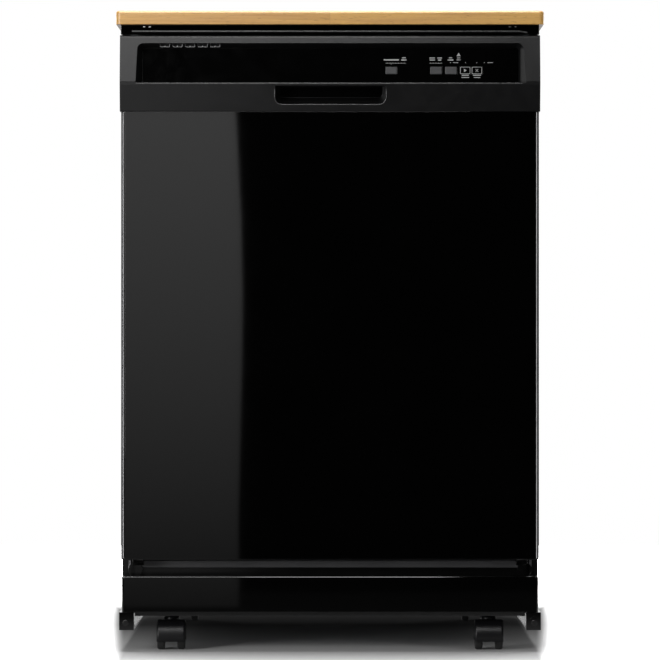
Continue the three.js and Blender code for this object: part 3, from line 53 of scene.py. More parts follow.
CABINET_X = 305.5
DOOR_X, DOOR_FRONT, DOOR_REAR = 303.7, -325, -283.3
DOOR_BOTTOM, PANEL_TOP, CONSOLE_TOP = 134.7, 785.7, 896.9
LIP_Y, LIP_Z = -330, 826.3
RECESS_FLOOR = -305
FASCIA_FRONT = -310.3
BUTTON_Z = 846.2
FRAME_BOTTOM, FRAME_TOP = 898.4, 911.4
TUB_X, TUB_FRONT, TUB_REAR, TUB_TOP = 272, -258, 268, 868
TROUGH_FLOOR = 150
BASKET_X = 243
CASTERS = {
    "front_left": (-232.5, -264), "front_right": (232.5, -264),
    "rear_left": (-232.5, 264), "rear_right": (232.5, 264),
}
WHEEL_TRAIL, WHEEL_RADIUS, CASTER_TOP = 13, 20, 48
SIDES = (("left", -1), ("right", 1))

# ---- Mesh helpers: every length is in millimetres ----

PLACE = {
    "x": lambda u, v, w: (w, u, v),
    "y": lambda u, v, w: (u, w, v),
    "z": lambda u, v, w: (u, v, w),
}


def add(name, data):
    """New object in the scene."""
    obj = bpy.data.objects.new(name, data)
    bpy.context.scene.collection.objects.link(obj)
    return obj


def mesh_of(bm):
    mesh = bpy.data.meshes.new("shape")
    bm.to_mesh(mesh)
    bm.free()
    return mesh


def shape(bm):
    """The bmesh as an object in the scene, in metres."""
    bmesh.ops.recalc_face_normals(bm, faces=bm.faces[:])
    mesh = mesh_of(bm)
    mesh.transform(Matrix.Scale(MM, 4))
    return add("shape", mesh)


def turns(count):
    """Angles of equal steps once round."""
    return [2 * math.pi * k / count for k in range(count)]


def around(centre, radius, angle):
    return centre[0] + radius * math.cos(angle), centre[1] + radius * math.sin(angle)


def spread(count, a, b):
    """Places from a to b at equal distances."""
    return [a + (b - a) * k / (count - 1) for k in range(count)]


def rounded(corners, steps=6):
    """Polygon whose corners (u, v, radius) are rounded by arcs."""
    points = []
    for i, (u, v, *radius) in enumerate(corners):
        here = Vector((u, v))
        if not radius or not radius[0]:
            points.append(here)
            continue
        r = radius[0]
        back = (Vector(corners[i - 1][:2]) - here).normalized()
        ahead = (Vector(corners[(i + 1) % len(corners)][:2]) - here).normalized()
        half = back.angle(ahead) / 2
        middle = here + (back + ahead).normalized() * (r / math.sin(half))
        start = here + back * (r / math.tan(half)) - middle
        turn = math.copysign(math.pi - 2 * half, -back.cross(ahead))
        for k in range(steps + 1):
            points.append(middle + Matrix.Rotation(turn * k / steps, 2) @ start)
    return points


def rect(u, v):
    return [(u[0], v[0]), (u[1], v[0]), (u[1], v[1]), (u[0], v[1])]


def round_rect(u, v, radius, steps=6):
    return rounded([(*corner, radius) for corner in rect(u, v)], steps)


def spun_rect(centre, u, v, turn):
    """Rectangle with the spans u and v, turned about zero and then moved to a centre."""
    spin = Matrix.Rotation(turn, 2)
    return [Vector(centre) + spin @ Vector(corner) for corner in rect(u, v)]


def grown(span, by):
    return span[0] - by, span[1] + by


def spans(node):
    """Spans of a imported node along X, Y and Z, in millimetres."""
    low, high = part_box(node)
    return [(a / MM, b / MM) for a, b in zip(low, high)]


def disc(centre, radius, sides=32):
    return [Vector(around(centre, radius, a)) for a in turns(sides)]


def skin(rings, closed=False):
    """Quads between rings of the same number of points."""
    bm = bmesh.new()
    made = [[bm.verts.new(p) for p in ring] for ring in rings]
    pairs = list(zip(made, made[1:])) + ([(made[-1], made[0])] if closed else [])
    for a, b in pairs:
        for k in range(len(a)):
            n = (k + 1) % len(a)
            bm.faces.new((a[k], a[n], b[n], b[k]))
    if not closed:
        bm.faces.new(made[0])
        bm.faces.new(made[-1])
    return shape(bm)


def prism(axis, points, span):
    """Polygon swept along an axis: (Y, Z) along x, (X, Z) along y or (X, Y) along z."""
    place = PLACE[axis]
    return skin([[place(u, v, w) for u, v in points] for w in span])


def box(x, y, z):
    return prism("z", rect(x, y), z)


def lathe(profile, centre=(0, 0), axis="z", sides=40):
    """Closed outline of (radius, height) points turned about an axis through the centre."""
    place = PLACE[axis]
    bm = bmesh.new()
    rings, count = [], len(profile)
    for a in turns(sides):
        rings.append([bm.verts.new(place(*around(centre, r, a), h)) for r, h in profile])
    for k in range(sides):
        a, b = rings[k], rings[(k + 1) % sides]
        for i in range(count):
            n = (i + 1) % count
            if profile[i][0] == 0 and profile[n][0] == 0:
                continue
            bm.faces.new((a[i], a[n], b[n], b[i]))
    bmesh.ops.remove_doubles(bm, verts=bm.verts, dist=1e-5)
    bmesh.ops.dissolve_degenerate(bm, edges=bm.edges, dist=1e-5)
    return shape(bm)


def turned(profile, *place, **more):
    """Lathe shape that is solid to its axis: the profile is closed there at both ends."""
    return lathe([(0, profile[0][1]), *profile, (0, profile[-1][1])], *place, **more)


def bent(corners, bend, steps=6):
    """Route along corner points, its inner corners rounded to a bend radius."""
    at = [Vector(p) for p in corners]
    points = [at[0]]
    for before, here, after in zip(at, at[1:], at[2:]):
        back, ahead = (before - here).normalized(), (after - here).normalized()
        half = back.angle(ahead) / 2
        if half > 1.56:
            points.append(here)
            continue
        start, end = here + back * (bend / math.tan(half)), here + ahead * (bend / math.tan(half))
        middle = here + (back + ahead).normalized() * (bend / math.sin(half))
        for k in range(steps + 1):
            spoke = (start - middle).slerp(end - middle, k / steps).normalized() * bend
            points.append(middle + spoke)
    return points + [at[-1]]


def frames(path, closed):
    """Two unit vectors across the path at each of its points, without twist."""
    count = len(path)
    out, across = [], None
    for i, here in enumerate(path):
        if closed:
            along = (path[(i + 1) % count] - path[i - 1]).normalized()
        else:
            along = (path[min(i + 1, count - 1)] - path[max(i - 1, 0)]).normalized()
        if across is None:
            across = along.orthogonal()
        across = (across - along * across.dot(along)).normalized()
        out.append((across, along.cross(across)))
    return out


def rod(path, radius, closed=False, sides=8):
    """Round bar along a path."""
    path = [Vector(p) for p in path]
    rings = []
    for here, (u, v) in zip(path, frames(path, closed)):
        rings.append([here + u * (radius * math.cos(a)) + v * (radius * math.sin(a)) for a in turns(sides)])
    return skin(rings, closed=closed)


def bake(obj):
    """Replaces the mesh by what its modifiers make of it."""
    graph = bpy.context.evaluated_depsgraph_get()
    made = bpy.data.meshes.new_from_object(obj.evaluated_get(graph))
    obj.modifiers.clear()
    old, obj.data = obj.data, made
    bpy.data.meshes.remove(old)
    return obj


def boolean(obj, tools, operation="DIFFERENCE"):
    for tool in tools:
        mod = obj.modifiers.new("boolean", "BOOLEAN")
        mod.operation, mod.solver, mod.object = operation, "EXACT", tool
    bake(obj)
    for tool in tools:
        bpy.data.objects.remove(tool, do_unlink=True)
    return obj


def cut(obj, *tools):
    return boolean(obj, tools)


def fuse(obj, *tools):
    return boolean(obj, tools, "UNION")


def together(*objs):
    """One object from several, with no cutting."""
    bm = bmesh.new()
    for obj in objs:
        bm.from_mesh(obj.data)
        bpy.data.objects.remove(obj, do_unlink=True)
    return add("shape", mesh_of(bm))


def round_edges(obj, where, width, segments=4):
    """Rounds the edges whose middle, in millimetres, passes the test."""
    bm = bmesh.new()
    bm.from_mesh(obj.data)
    picked = [
        e for e in bm.edges
        if len(e.link_faces) == 2 and e.calc_face_angle(0) > 0.3
        and where((e.verts[0].co + e.verts[1].co) / 2 / MM)
    ]
    bmesh.ops.bevel(bm, geom=picked, offset=width * MM, segments=segments, profile=0.5,
                    affect="EDGES", clamp_overlap=True)
    bm.to_mesh(obj.data)
    bm.free()
    return obj


def shade(obj, soft=0.6, angle=34, segments=2):
    """Smooth shading with small rounded edges."""
    mesh = obj.data
    for face in mesh.polygons:
        face.use_smooth = True
    mesh.set_sharp_from_angle(angle=math.radians(angle))
    if soft:
        mod = obj.modifiers.new("soft", "BEVEL")
        mod.width, mod.segments = soft * MM, segments
        mod.limit_method, mod.angle_limit = "ANGLE", math.radians(angle)
    mod = obj.modifiers.new("flat", "WEIGHTED_NORMAL")
    mod.mode, mod.keep_sharp = "FACE_AREA", True
    return obj


def piece(name, obj, body, slot, material=None, replaces=(), **shading):
    """Names a finished piece, gives it its material and lets it ride on a body."""
    obj.name = name
    shade(obj, **shading)
    obj.data.materials.clear()
    obj.data.materials.append(material or LOOKS[slot])
    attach(obj, body)
    if replaces:
        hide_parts(*replaces)
    return obj


# ---- Materials ----

class Nodes:
    """Short ways to add nodes to a material or world and to join them."""

    def __init__(self, owner):
        owner.use_nodes = True
        self.tree = owner.node_tree

    def node(self, kind, inputs=None, **settings):
        """New node with its settings, and with values typed into its inputs."""
        node = self.tree.nodes.new("ShaderNode" + kind)
        for key, value in settings.items():
            setattr(node, key, value)
        for key, value in (inputs or {}).items():
            node.inputs[key].default_value = value
        return node

    def link(self, a, b):
        self.tree.links.new(a, b)

    def ramp(self, factor, low, high, out=(0.0, 1.0), curve="SMOOTHSTEP"):
        """The factor, mapped from low to high into another range."""
        values = {"From Min": low, "From Max": high, "To Min": out[0], "To Max": out[1]}
        node = self.node("MapRange", values, interpolation_type=curve)
        self.link(factor, node.inputs["Value"])
        return node.outputs["Result"]

    def math(self, operation, a, b=0.0):
        node = self.node("Math", operation=operation)
        for value, socket in zip((a, b), node.inputs):
            if isinstance(value, (int, float)):
                socket.default_value = value
            else:
                self.link(value, socket)
        return node.outputs[0]

    def split(self, kind, output):
        """X, Y and Z of what a new node gives out."""
        parts = self.node("SeparateXYZ")
        self.link(self.node(kind).outputs[output], parts.inputs[0])
        return parts.outputs

    def rays(self):
        """Kinds of ray, and whether the camera sees by this one."""
        kinds = self.node("LightPath").outputs
        return kinds, self.math("MAXIMUM", kinds["Is Camera Ray"], kinds["Is Transmission Ray"])


class Look(Nodes):
    """A material that is put together from nodes around one Principled shader."""

    def __init__(self, name, color, roughness, metallic=0.0, specular=0.5, coat=0.0, coat_roughness=0.05):
        self.material = bpy.data.materials.new(name)
        super().__init__(self.material)
        self.color, self.height = color, None
        self.shader = self.tree.nodes["Principled BSDF"].inputs
        values = {"Base Color": (*color, 1), "Roughness": roughness, "Metallic": metallic,
                  "Specular IOR Level": specular, "Coat Weight": coat, "Coat Roughness": coat_roughness}
        for key, value in values.items():
            self.shader[key].default_value = value
        self.coordinates = self.node("TexCoord").outputs["Object"]

    def place(self, scale=(1, 1, 1)):
        """Object coordinates, scaled."""
        mapping = self.node("Mapping", {"Scale": scale})
        self.link(self.coordinates, mapping.inputs["Vector"])
        return mapping.outputs["Vector"]

    def noise(self, scale, stretch=(1, 1, 1), detail=3):
        node = self.node("TexNoise", {"Scale": scale, "Detail": detail, "Roughness": 0.55})
        self.link(self.place(stretch), node.inputs["Vector"])
        return node.outputs["Fac"]

    def mix(self, factor, a, b):
        """From a to b by the factor, each a colour or an output."""
        node = self.node("Mix", data_type="RGBA")
        self.link(factor, node.inputs["Factor"])
        for value, socket in ((a, node.inputs[6]), (b, node.inputs[7])):
            if isinstance(value, tuple):
                socket.default_value = (*value, 1)
            else:
                self.link(value, socket)
        return node.outputs[2]

    def paint(self, color):
        self.link(color, self.shader["Base Color"])
        return self

    def vary(self, factor, amount, low=0.35, high=0.65):
        """Base colour that runs from darker to lighter by the factor."""
        dark = tuple(c * (1 - amount) for c in self.color)
        light = tuple(min(1, c * (1 + amount)) for c in self.color)
        return self.paint(self.mix(self.ramp(factor, low, high), dark, light))

    def rough(self, factor, low, high):
        self.link(self.ramp(factor, 0.3, 0.7, (low, high)), self.shader["Roughness"])
        return self

    def bump(self, factor, distance):
        """Relief of a depth in millimetres, on top of any earlier one."""
        node = self.node("Bump", {"Distance": distance * MM, "Strength": 1.0})
        self.link(factor, node.inputs["Height"])
        if self.height:
            self.link(self.height, node.inputs["Normal"])
        self.height = node.outputs["Normal"]
        self.link(self.height, self.shader["Normal"])
        return self


def moulded(name, color, roughness, grain=0.02, size=1400, **more):
    """Moulded plastic: fine spark-eroded grain, slight cloudiness."""
    look = Look(name, color, roughness, **more)
    look.vary(look.noise(14, detail=2), 0.07)
    look.rough(look.noise(60, detail=4), roughness - 0.02, roughness + 0.02)
    return look.bump(look.noise(size, detail=2), grain)


def enamel(name, color, roughness, peel=0.01, wave=0.1, **more):
    """Enamelled sheet steel: orange peel on slightly wavy sheet."""
    look = Look(name, color, roughness, **more)
    look.vary(look.noise(9, detail=2), 0.1)
    look.rough(look.noise(35, detail=4), roughness * 0.94, roughness * 1.07)
    look.bump(look.noise(4.5, detail=1), wave)
    return look.bump(look.noise(420, detail=2), peel)


def galvanised(name, color, roughness):
    """Zinc coat: dull crystals."""
    look = Look(name, color, roughness, metallic=1.0)
    cells = look.node("TexVoronoi", {"Scale": 130})
    look.link(look.place(), cells.inputs["Vector"])
    shades = look.node("SeparateColor")
    look.link(cells.outputs["Color"], shades.inputs["Color"])
    look.vary(shades.outputs["Red"], 0.16, 0.0, 1.0)
    look.rough(look.noise(55), roughness - 0.08, roughness + 0.1)
    return look.bump(look.noise(300), 0.015)


def brushed(name, color, roughness, stretch):
    look = Look(name, color, roughness, metallic=1.0)
    lines = look.noise(30, stretch, detail=5)
    look.vary(lines, 0.12)
    look.rough(lines, roughness - 0.08, roughness + 0.1)
    return look.bump(lines, 0.01)


def rubber(name, color):
    look = Look(name, color, 0.75, specular=0.35)
    look.vary(look.noise(25), 0.2)
    look.rough(look.noise(120), 0.65, 0.85)
    return look.bump(look.noise(900), 0.03)


def butcher_block():
    """Staves of oiled hardwood laid along the width, each with its own tone and grain."""
    look = Look("wood", (0.56, 0.31, 0.1), 0.42, coat=0.3, coat_roughness=0.25)
    staves = look.node("TexBrick", {
        "Scale": 1, "Brick Width": 0.42, "Row Height": 0.037, "Mortar Size": 0.00022, "Mortar Smooth": 0.3,
        "Bias": 0.0, "Color1": (0.30, 0.30, 0.30, 1), "Color2": (0.70, 0.70, 0.70, 1),
        "Mortar": (0.5, 0.5, 0.5, 1)}, offset=0.41, offset_frequency=2, squash=1, squash_frequency=2)
    look.link(look.place(), staves.inputs["Vector"])
    shades = look.node("SeparateColor")
    look.link(staves.outputs["Color"], shades.inputs["Color"])
    tone = shades.outputs["Red"]
    # grain runs along the staves, and each stave takes it from another place
    shift = look.node("CombineXYZ")
    moved = look.node("VectorMath", {1: (9, 0, 5)}, operation="MULTIPLY_ADD")
    look.link(tone, shift.inputs["X"])
    look.link(tone, shift.inputs["Z"])
    look.link(shift.outputs["Vector"], moved.inputs[0])
    look.link(look.place((2.2, 34, 40)), moved.inputs[2])
    grain = look.node("TexNoise", {"Scale": 1.6, "Detail": 6, "Roughness": 0.62, "Distortion": 0.5})
    look.link(moved.outputs["Vector"], grain.inputs["Vector"])
    grain = grain.outputs["Fac"]
    fine = look.noise(9, (1.0, 60, 70), detail=4)
    flecks = look.noise(52, (1.6, 14, 14), detail=3)
    body = look.mix(look.ramp(tone, 0.3, 0.7), (0.49, 0.252, 0.052), (0.62, 0.350, 0.088))
    body = look.mix(look.ramp(grain, 0.35, 0.68), body, (0.44, 0.213, 0.042))
    body = look.mix(look.ramp(fine, 0.38, 0.62, (0.0, 0.30)), body, (0.70, 0.43, 0.13))
    body = look.mix(look.ramp(flecks, 0.58, 0.7, (0.0, 0.6)), body, (0.25, 0.11, 0.022))
    # painted shade: much darker where it faces down, and a little darker where it faces up
    up = look.split("NewGeometry", "Normal")["Z"]
    body = look.mix(look.ramp(up, -0.95, -0.6, (0.9, 0.0)), body, (0.03, 0.014, 0.005))
    body = look.mix(look.ramp(up, 0.92, 0.995, (0.0, 0.4)), body, (0.30, 0.15, 0.035))
    joint = look.ramp(staves.outputs["Fac"], 0.2, 0.9, (0.0, 0.5))
    look.paint(look.mix(joint, body, (0.20, 0.09, 0.025)))
    look.rough(grain, 0.36, 0.5)
    look.bump(grain, 0.05)
    return look.bump(fine, 0.03)


LOOKS = {
    "wood": butcher_block(),
    "gloss_black": enamel("gloss_black", (0.0007, 0.0007, 0.0007), 0.045, peel=0.002, wave=0.18),
    "satin_black": moulded("satin_black", (0.004, 0.004, 0.0042), 0.33, grain=0.003, specular=0.27),
    "black_steel": enamel("black_steel", (0.0035, 0.0035, 0.0035), 0.18, peel=0.012),
    "fascia": moulded("fascia", (0.001, 0.001, 0.001), 0.09, grain=0.0005, size=300),
    "button_grey": moulded("button_grey", (0.042, 0.042, 0.044), 0.4, grain=0.004),
    "caster_black": moulded("caster_black", (0.0035, 0.0035, 0.004), 0.36, grain=0.012, specular=0.2),
    "tread": rubber("tread", (0.012, 0.012, 0.012)),
    "grey_plastic": moulded("grey_plastic", (0.26, 0.28, 0.30), 0.45),
    "pale_grey": moulded("pale_grey", (0.48, 0.50, 0.53), 0.4, grain=0.015),
    "stainless": brushed("stainless", (0.55, 0.55, 0.56), 0.3, (1, 1, 12)),
    "zinc": galvanised("zinc", (0.50, 0.51, 0.52), 0.42),
    "seal_rubber": rubber("seal_rubber", (0.014, 0.014, 0.014)),
    "rack_coat": moulded("rack_coat", (0.33, 0.37, 0.42), 0.35, grain=0.02, size=700),
    "nylon": moulded("nylon", (0.42, 0.46, 0.50), 0.42),
    "board": moulded("board", (0.015, 0.11, 0.035), 0.4, grain=0.01, size=500),
    "motor": enamel("motor", (0.09, 0.095, 0.10), 0.4, peel=0.03),
}
LOOKS = {slot: look.material for slot, look in LOOKS.items()}
# lighter grey for the toe strip than its black rubber: painted light, for the light its top catches under the
# door
TOE_LIT_GREY = moulded("toe_lit_grey", (0.075, 0.075, 0.078), 0.55).material
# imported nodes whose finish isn't the one of their slot
BLACK_PARTS = {
    "hinge_arm_left": "black_steel", "hinge_arm_right": "black_steel",
    "caster_beam_front": "black_steel", "caster_beam_rear": "black_steel",
    "base_rail_left": "gloss_black", "base_rail_right": "gloss_black",
}
KICK_GLOSS = enamel("kick_gloss", (0.0008, 0.0008, 0.0008), 0.05, peel=0.002, wave=0.15,
                    specular=0.62).material
# pale grey of the rods along the door's side edges: painted highlight
EDGE_GLINT = moulded("edge_glint", (0.4, 0.4, 0.41), 0.32, grain=0.001).material
# lighter grey of the beads along edges: partly painted highlight, on top of the light their round faces catch
LIP_HIGHLIGHT = moulded("lip", (0.035, 0.035, 0.036), 0.28, grain=0.001).material
MARKING = moulded("marking", (0.30, 0.30, 0.30), 0.5, grain=0.001).material
BRIGHT = galvanised("bright_screw", (0.62, 0.62, 0.62), 0.3).material

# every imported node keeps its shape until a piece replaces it
for entry in frame["record"]["subparts"]:
    node = frame["nodes"][entry["node"]]
    node.data.materials.clear()
    node.data.materials.append(LOOKS[BLACK_PARTS.get(entry["node"], entry["material_slot"])])
    weld = node.modifiers.new("weld", "WELD")
    weld.merge_threshold = 0.01 * MM
    shade(node, soft=0.5, angle=32)

# ---- Worktop and the frame under it ----

BOARD_Z = (911.7, 932)
board_top = prism("z", round_rect((-311, 311), (-330, 330), 7, 10), BOARD_Z)
round_edges(board_top, lambda p: p.z > BOARD_Z[1] - 0.1, 4.2, 6)
round_edges(board_top, lambda p: p.z < BOARD_Z[0] + 0.1, 1.0, 3)
piece("worktop_board", board_top, "cabinet", "wood", replaces=["wood_top"], soft=0)

RING_X, RING_Y, RING_WALL = (-304.5, 304.5), (-318, 322), 24
ring = prism("z", round_rect(RING_X, RING_Y, 0.8, 3), (FRAME_BOTTOM, FRAME_TOP))
cut(ring, box(grown(RING_X, -RING_WALL), grown(RING_Y, -RING_WALL), (FRAME_BOTTOM - 1, FRAME_TOP + 1)))
ties = [box((x - 12, x + 12), (-306, 310), (FRAME_TOP - 5, FRAME_TOP)) for x in (-101.5, 101.5)]
piece("frame_ring", together(ring, *ties), "cabinet", "satin_black", LOOKS["gloss_black"],
      replaces=["top_frame"], soft=0.4)
# rod along the frame's front in a lighter grey: partly painted highlight, partly the light its round face
# catches
frame_lip = rod([(-288, -319.4, 902.6), (276, -319.4, 902.6), (287, -319.4, 900.6)], 1.3, sides=10)
piece("frame_lip", frame_lip, "cabinet", "satin_black", LIP_HIGHLIGHT, soft=0)
clips = [box((x - 1.6, x + 1.6), (-318.9, -315), (908.4, 910.2)) for x in (-262, -270.5, 262, 270.5)]
piece("frame_clips", together(*clips), "cabinet", "zinc", BRIGHT, soft=0.3)

# ---- Door: gloss panel, console with its recess, vents and handle pocket, controls ----

# left side of the panel's section in (X, Y): a raised rim, a groove, then the flat front
RIM_X, GROOVE_X = -DOOR_X + 3.8, -DOOR_X + 5.4
edge = [(-DOOR_X, DOOR_REAR), (-DOOR_X, DOOR_FRONT + 0.9, 0.6), (RIM_X, DOOR_FRONT + 0.9, 0.5),
        (RIM_X, DOOR_FRONT + 3.2), (GROOVE_X, DOOR_FRONT + 3.2), (GROOVE_X, DOOR_FRONT, 0.4)]
behind = [(-DOOR_X + 8, DOOR_FRONT + 1.2), (-DOOR_X + 8, DOOR_FRONT + 4.6),
          (-DOOR_X + 1.2, DOOR_FRONT + 6.6), (-DOOR_X + 1.2, DOOR_REAR)]


def other_side(corners):
    return [(-u, v, *radius) for u, v, *radius in reversed(corners)]


door_skin = prism("z", rounded(edge + other_side(edge) + other_side(behind) + behind, 6),
                  (DOOR_BOTTOM, PANEL_TOP - 0.3))
FOLD_X, FOLD_FRONT, FOLD_REAR = DOOR_X - 0.4, DOOR_FRONT + 0.4, -313
fold = rounded([(-FOLD_X, FOLD_REAR), (-FOLD_X, FOLD_FRONT, 5.6), (FOLD_X, FOLD_FRONT, 5.6),
                (FOLD_X, FOLD_REAR)], 12)
folds = [prism("z", fold, span) for span in (
    (DOOR_BOTTOM + 0.05, DOOR_BOTTOM + 1.2), (PANEL_TOP - 1.5, PANEL_TOP - 0.35))]
piece("door_skin", together(door_skin, *folds), "door", "gloss_black", replaces=["door_panel"], soft=0.35)
# pale rods half sunk along the door's side edges: painted highlight, the bright line that its rounded edges
# catch
GLINT_X, GLINT_Y = 300.6, DOOR_FRONT + 1.3
glint_rods = [rod([(x, GLINT_Y, DOOR_BOTTOM + 1.5), (x, GLINT_Y, PANEL_TOP - 1.5)], 0.75, sides=16)
         for x in (-GLINT_X, GLINT_X)]
piece("door_edge_glints", together(*glint_rods), "door", "stainless", EDGE_GLINT, soft=0)


def console_section(inset):
    """Section in (Y, Z): a face that runs out to the lip and leans back above it."""
    return rounded([
        (DOOR_REAR, PANEL_TOP + inset), (DOOR_FRONT + inset, PANEL_TOP + inset, 1.2),
        (LIP_Y + inset, LIP_Z - 2, 4), (LIP_Y + inset, LIP_Z + 3, 4),
        (LIP_Y + 9 + inset, CONSOLE_TOP - inset, 4 - inset), (DOOR_REAR, CONSOLE_TOP - inset)], 8)


POCKET_TOP = LIP_Z - 3.4


def dish_ring(x, y, z, radius_low, radius_high):
    """Rounded rectangle in the plane at y, with one radius for its lower and one for its upper corners."""
    radii = (radius_low, radius_low, radius_high, radius_high)
    corners = rounded([(*corner, radius) for corner, radius in zip(rect(x, z), radii)], 8)
    return [(u, y, v) for u, v in corners]


def recess(grow, y):
    """Space of the control recess, from in front of the lip back to y."""
    return skin([
        dish_ring(grown((-284.5, 287.5), grow), LIP_Y - 6, grown((LIP_Z, 889.5), grow), 1 + grow, 10 + grow),
        dish_ring(grown((-274, 273), grow), y, grown((LIP_Z + 1.4, 879.5), grow), 1 + grow, 7 + grow)])


def pocket(grow, y):
    """Space of the handle pocket under the lip."""
    front_z, back_z = (POCKET_TOP - 31.5, POCKET_TOP), (POCKET_TOP - 16, POCKET_TOP + 0.5)
    return skin([
        dish_ring(grown((-80.8, 82.2), grow), LIP_Y - 6, grown(front_z, grow), 12 + grow, 2 + grow),
        dish_ring(grown((-74.8, 76.2), grow), y, grown(back_z, grow), 8 + grow, 2 + grow)])


VENT_X = [-248 + 18.3 * k for k in range(5)]
CONSOLE_WALL, INNER_X, POCKET_FLOOR = 3, CABINET_X - 3, -300
console = prism("x", console_section(0), (-CABINET_X, CABINET_X))
inside = prism("x", console_section(CONSOLE_WALL), (-INNER_X, INNER_X))
back = box((-INNER_X, INNER_X), (DOOR_REAR - 6, DOOR_REAR + 1),
           (PANEL_TOP + CONSOLE_WALL, CONSOLE_TOP - CONSOLE_WALL))
cut(console, inside, back)
walls = fuse(recess(CONSOLE_WALL, RECESS_FLOOR + CONSOLE_WALL),
             pocket(CONSOLE_WALL, POCKET_FLOOR + CONSOLE_WALL))
boolean(walls, [prism("x", console_section(0.5), (-304.5, 304.5))], "INTERSECT")
fuse(console, walls)
vents = [prism("z", round_rect((x, x + 15), (-321, -309), 1.5, 3), (872, 891)) for x in VENT_X]
cut(console, recess(0, RECESS_FLOOR), pocket(0, POCKET_FLOOR), *vents)
piece("console_shell", console, "door", "satin_black", replaces=["console"], soft=0.9, segments=3)

# beads along the lip and round the pocket, in a lighter grey that paints a highlight on top of the light
# their round faces catch, and the ribs that show at the vent slots
lip_bead = rod([(-282, LIP_Y + 1.2, LIP_Z - 0.3), (281, LIP_Y + 1.2, LIP_Z - 0.3)], 1.3, sides=14)
pocket_bead = rod(bent([(-80.4, -329, 818), (-80.4, -326.3, 795.6), (81.8, -326.3, 795.6),
                        (81.8, -329, 818)], 11, 8), 0.8, sides=12)
piece("console_beads", together(lip_bead, pocket_bead), "door", "satin_black", LIP_HIGHLIGHT, soft=0)
# near-black gloss sheet over the upper back of the handle pocket: painted shade
pocket_shade_sheet = box((-74, 75.4), (-300.7, -300.1), (POCKET_TOP - 15.2, POCKET_TOP))
piece("pocket_shade_sheet", pocket_shade_sheet, "door", "fascia", LOOKS["fascia"], soft=0)
ribs = []
for x in VENT_X:
    left, right, y = x + 0.5, x + 14.5, -309.5
    route = [(left, y, 887), (left, y, 880.6), (right, y, 880.6), (right, y, 887)]
    ribs.append(rod(bent(route, 1.5, 3), 0.4))
    ribs.append(turned([(1.1, 880.4), (1.1, 881.6), (0.4, 882.6)], (x + 7.5, -309.6), sides=12))
piece("vent_ribs", together(*ribs), "door", "satin_black", MARKING, soft=0)

# each button's place across the door, width and height
BUTTONS = {
    "options": (89.3, 16.5, 10.4), "dry": (154.3, 16.5, 10.4), "cycle": (176.1, 16.5, 10.4),
    "start": (197.0, 15.7, 11.3), "cancel": (214.0, 15.7, 11.3),
}


def centred(u, v, width, height, radius, steps):
    """Round rectangle about a point."""
    return round_rect((u - width / 2, u + width / 2), (v - height / 2, v + height / 2), radius, steps)


def button_outline(name, grow=0.0, radius=1.0):
    x, width, height = BUTTONS[name]
    return centred(x, BUTTON_Z, width + 2 * grow, height + 2 * grow, radius, 4)


fascia = prism("y", round_rect((-273.4, 272.4), (828.8, 878.8), 3, 6), (FASCIA_FRONT, RECESS_FLOOR - 0.3))
cut(fascia, *[prism("y", button_outline(n, 0.4), (FASCIA_FRONT - 1, RECESS_FLOOR)) for n in BUTTONS])
piece("fascia_plate", fascia, "door", "fascia", replaces=["control_fascia"], soft=0.3)


def flat_mark(points, y=FASCIA_FRONT):
    """Printed mark on a face that looks forward."""
    return prism("y", points, (y - 0.12, y + 0.05))


def bar_mark(x, z, width, height=1.1):
    return flat_mark(centred(x, z, width, height, 0.3, 2))


# plain bars, dots and ticks where a real panel has its printing: (x, z, width, height)
BARS = [
    (89.4, 861.6, 22, 2.0), (107.6, 864.6, 6, 1.4), (107.6, 861.4, 8, 1.6), (95.6, 856.6, 30, 0.5),
    (149.0, 864.4, 8, 1.5), (149.0, 861.4, 8, 1.6), (159.8, 864.4, 7, 1.5), (159.8, 861.4, 5, 1.6),
    (154.2, 856.6, 19, 0.5), (175.6, 864.6, 5, 1.3), (175.6, 861.4, 8.6, 1.6), (187.4, 864.4, 5, 1.0),
    (187.4, 861.6, 6, 1.0), (183.0, 857.6, 8, 0.8), (233.4, 857.6, 8, 0.9),
    (197.2, 839.2, 10.4, 1.5), (197.2, 836.0, 11.4, 1.1), (214.2, 839.2, 12, 1.5), (214.2, 836.0, 9.4, 1.1),
]
DOTS = [(175.6, 857.6), (197.4, 857.6), (213.9, 857.6), (225.0, 857.6)]
TICKS = [83.5 + 4.05 * k for k in range(7)] + [146.5 + 3.85 * k for k in range(5)]
marks = [bar_mark(*bar) for bar in BARS]
marks += [flat_mark(disc(at, 0.6, 12)) for at in DOTS]
marks += [bar_mark(x, 857.4, 0.5, 1.4) for x in TICKS] + [bar_mark(89.3, 855.4, 0.6, 2.6)]
sign = flat_mark([(184.4, 867.0), (190.4, 867.0), (187.4, 872.2)])
piece("fascia_marks", together(*marks, sign), "door", "fascia", MARKING, soft=0)

for name, (x, width, height) in BUTTONS.items():
    dark = name in ("start", "cancel")
    front = FASCIA_FRONT - 0.8
    cap = prism("y", button_outline(name), (front, front + 4))
    round_edges(cap, lambda p: p.y < front + 0.1, 0.7, 3)
    piece(f"{name}_cap", cap, f"button_{name}", "button_grey",
          LOOKS["fascia"] if dark else None, replaces=[f"button_{name}"], soft=0)
    if not dark:
        continue
    ring = cut(prism("y", button_outline(name, -0.5, 1.4), (front - 0.15, front + 0.3)),
               prism("y", button_outline(name, -1.2, 0.9), (front - 1, front + 1)))
    if name == "start":
        icon = flat_mark([(x - 1.8, BUTTON_Z - 2.4), (x + 2.4, BUTTON_Z), (x - 1.8, BUTTON_Z + 2.4)], front)
    else:
        icon = together(*[flat_mark(spun_rect((x, BUTTON_Z), (-2.8, 2.8), (-0.45, 0.45), turn), front)
                          for turn in (math.pi / 4, -math.pi / 4)])
    piece(f"{name}_icon", together(ring, icon), f"button_{name}", "button_grey", MARKING, soft=0)

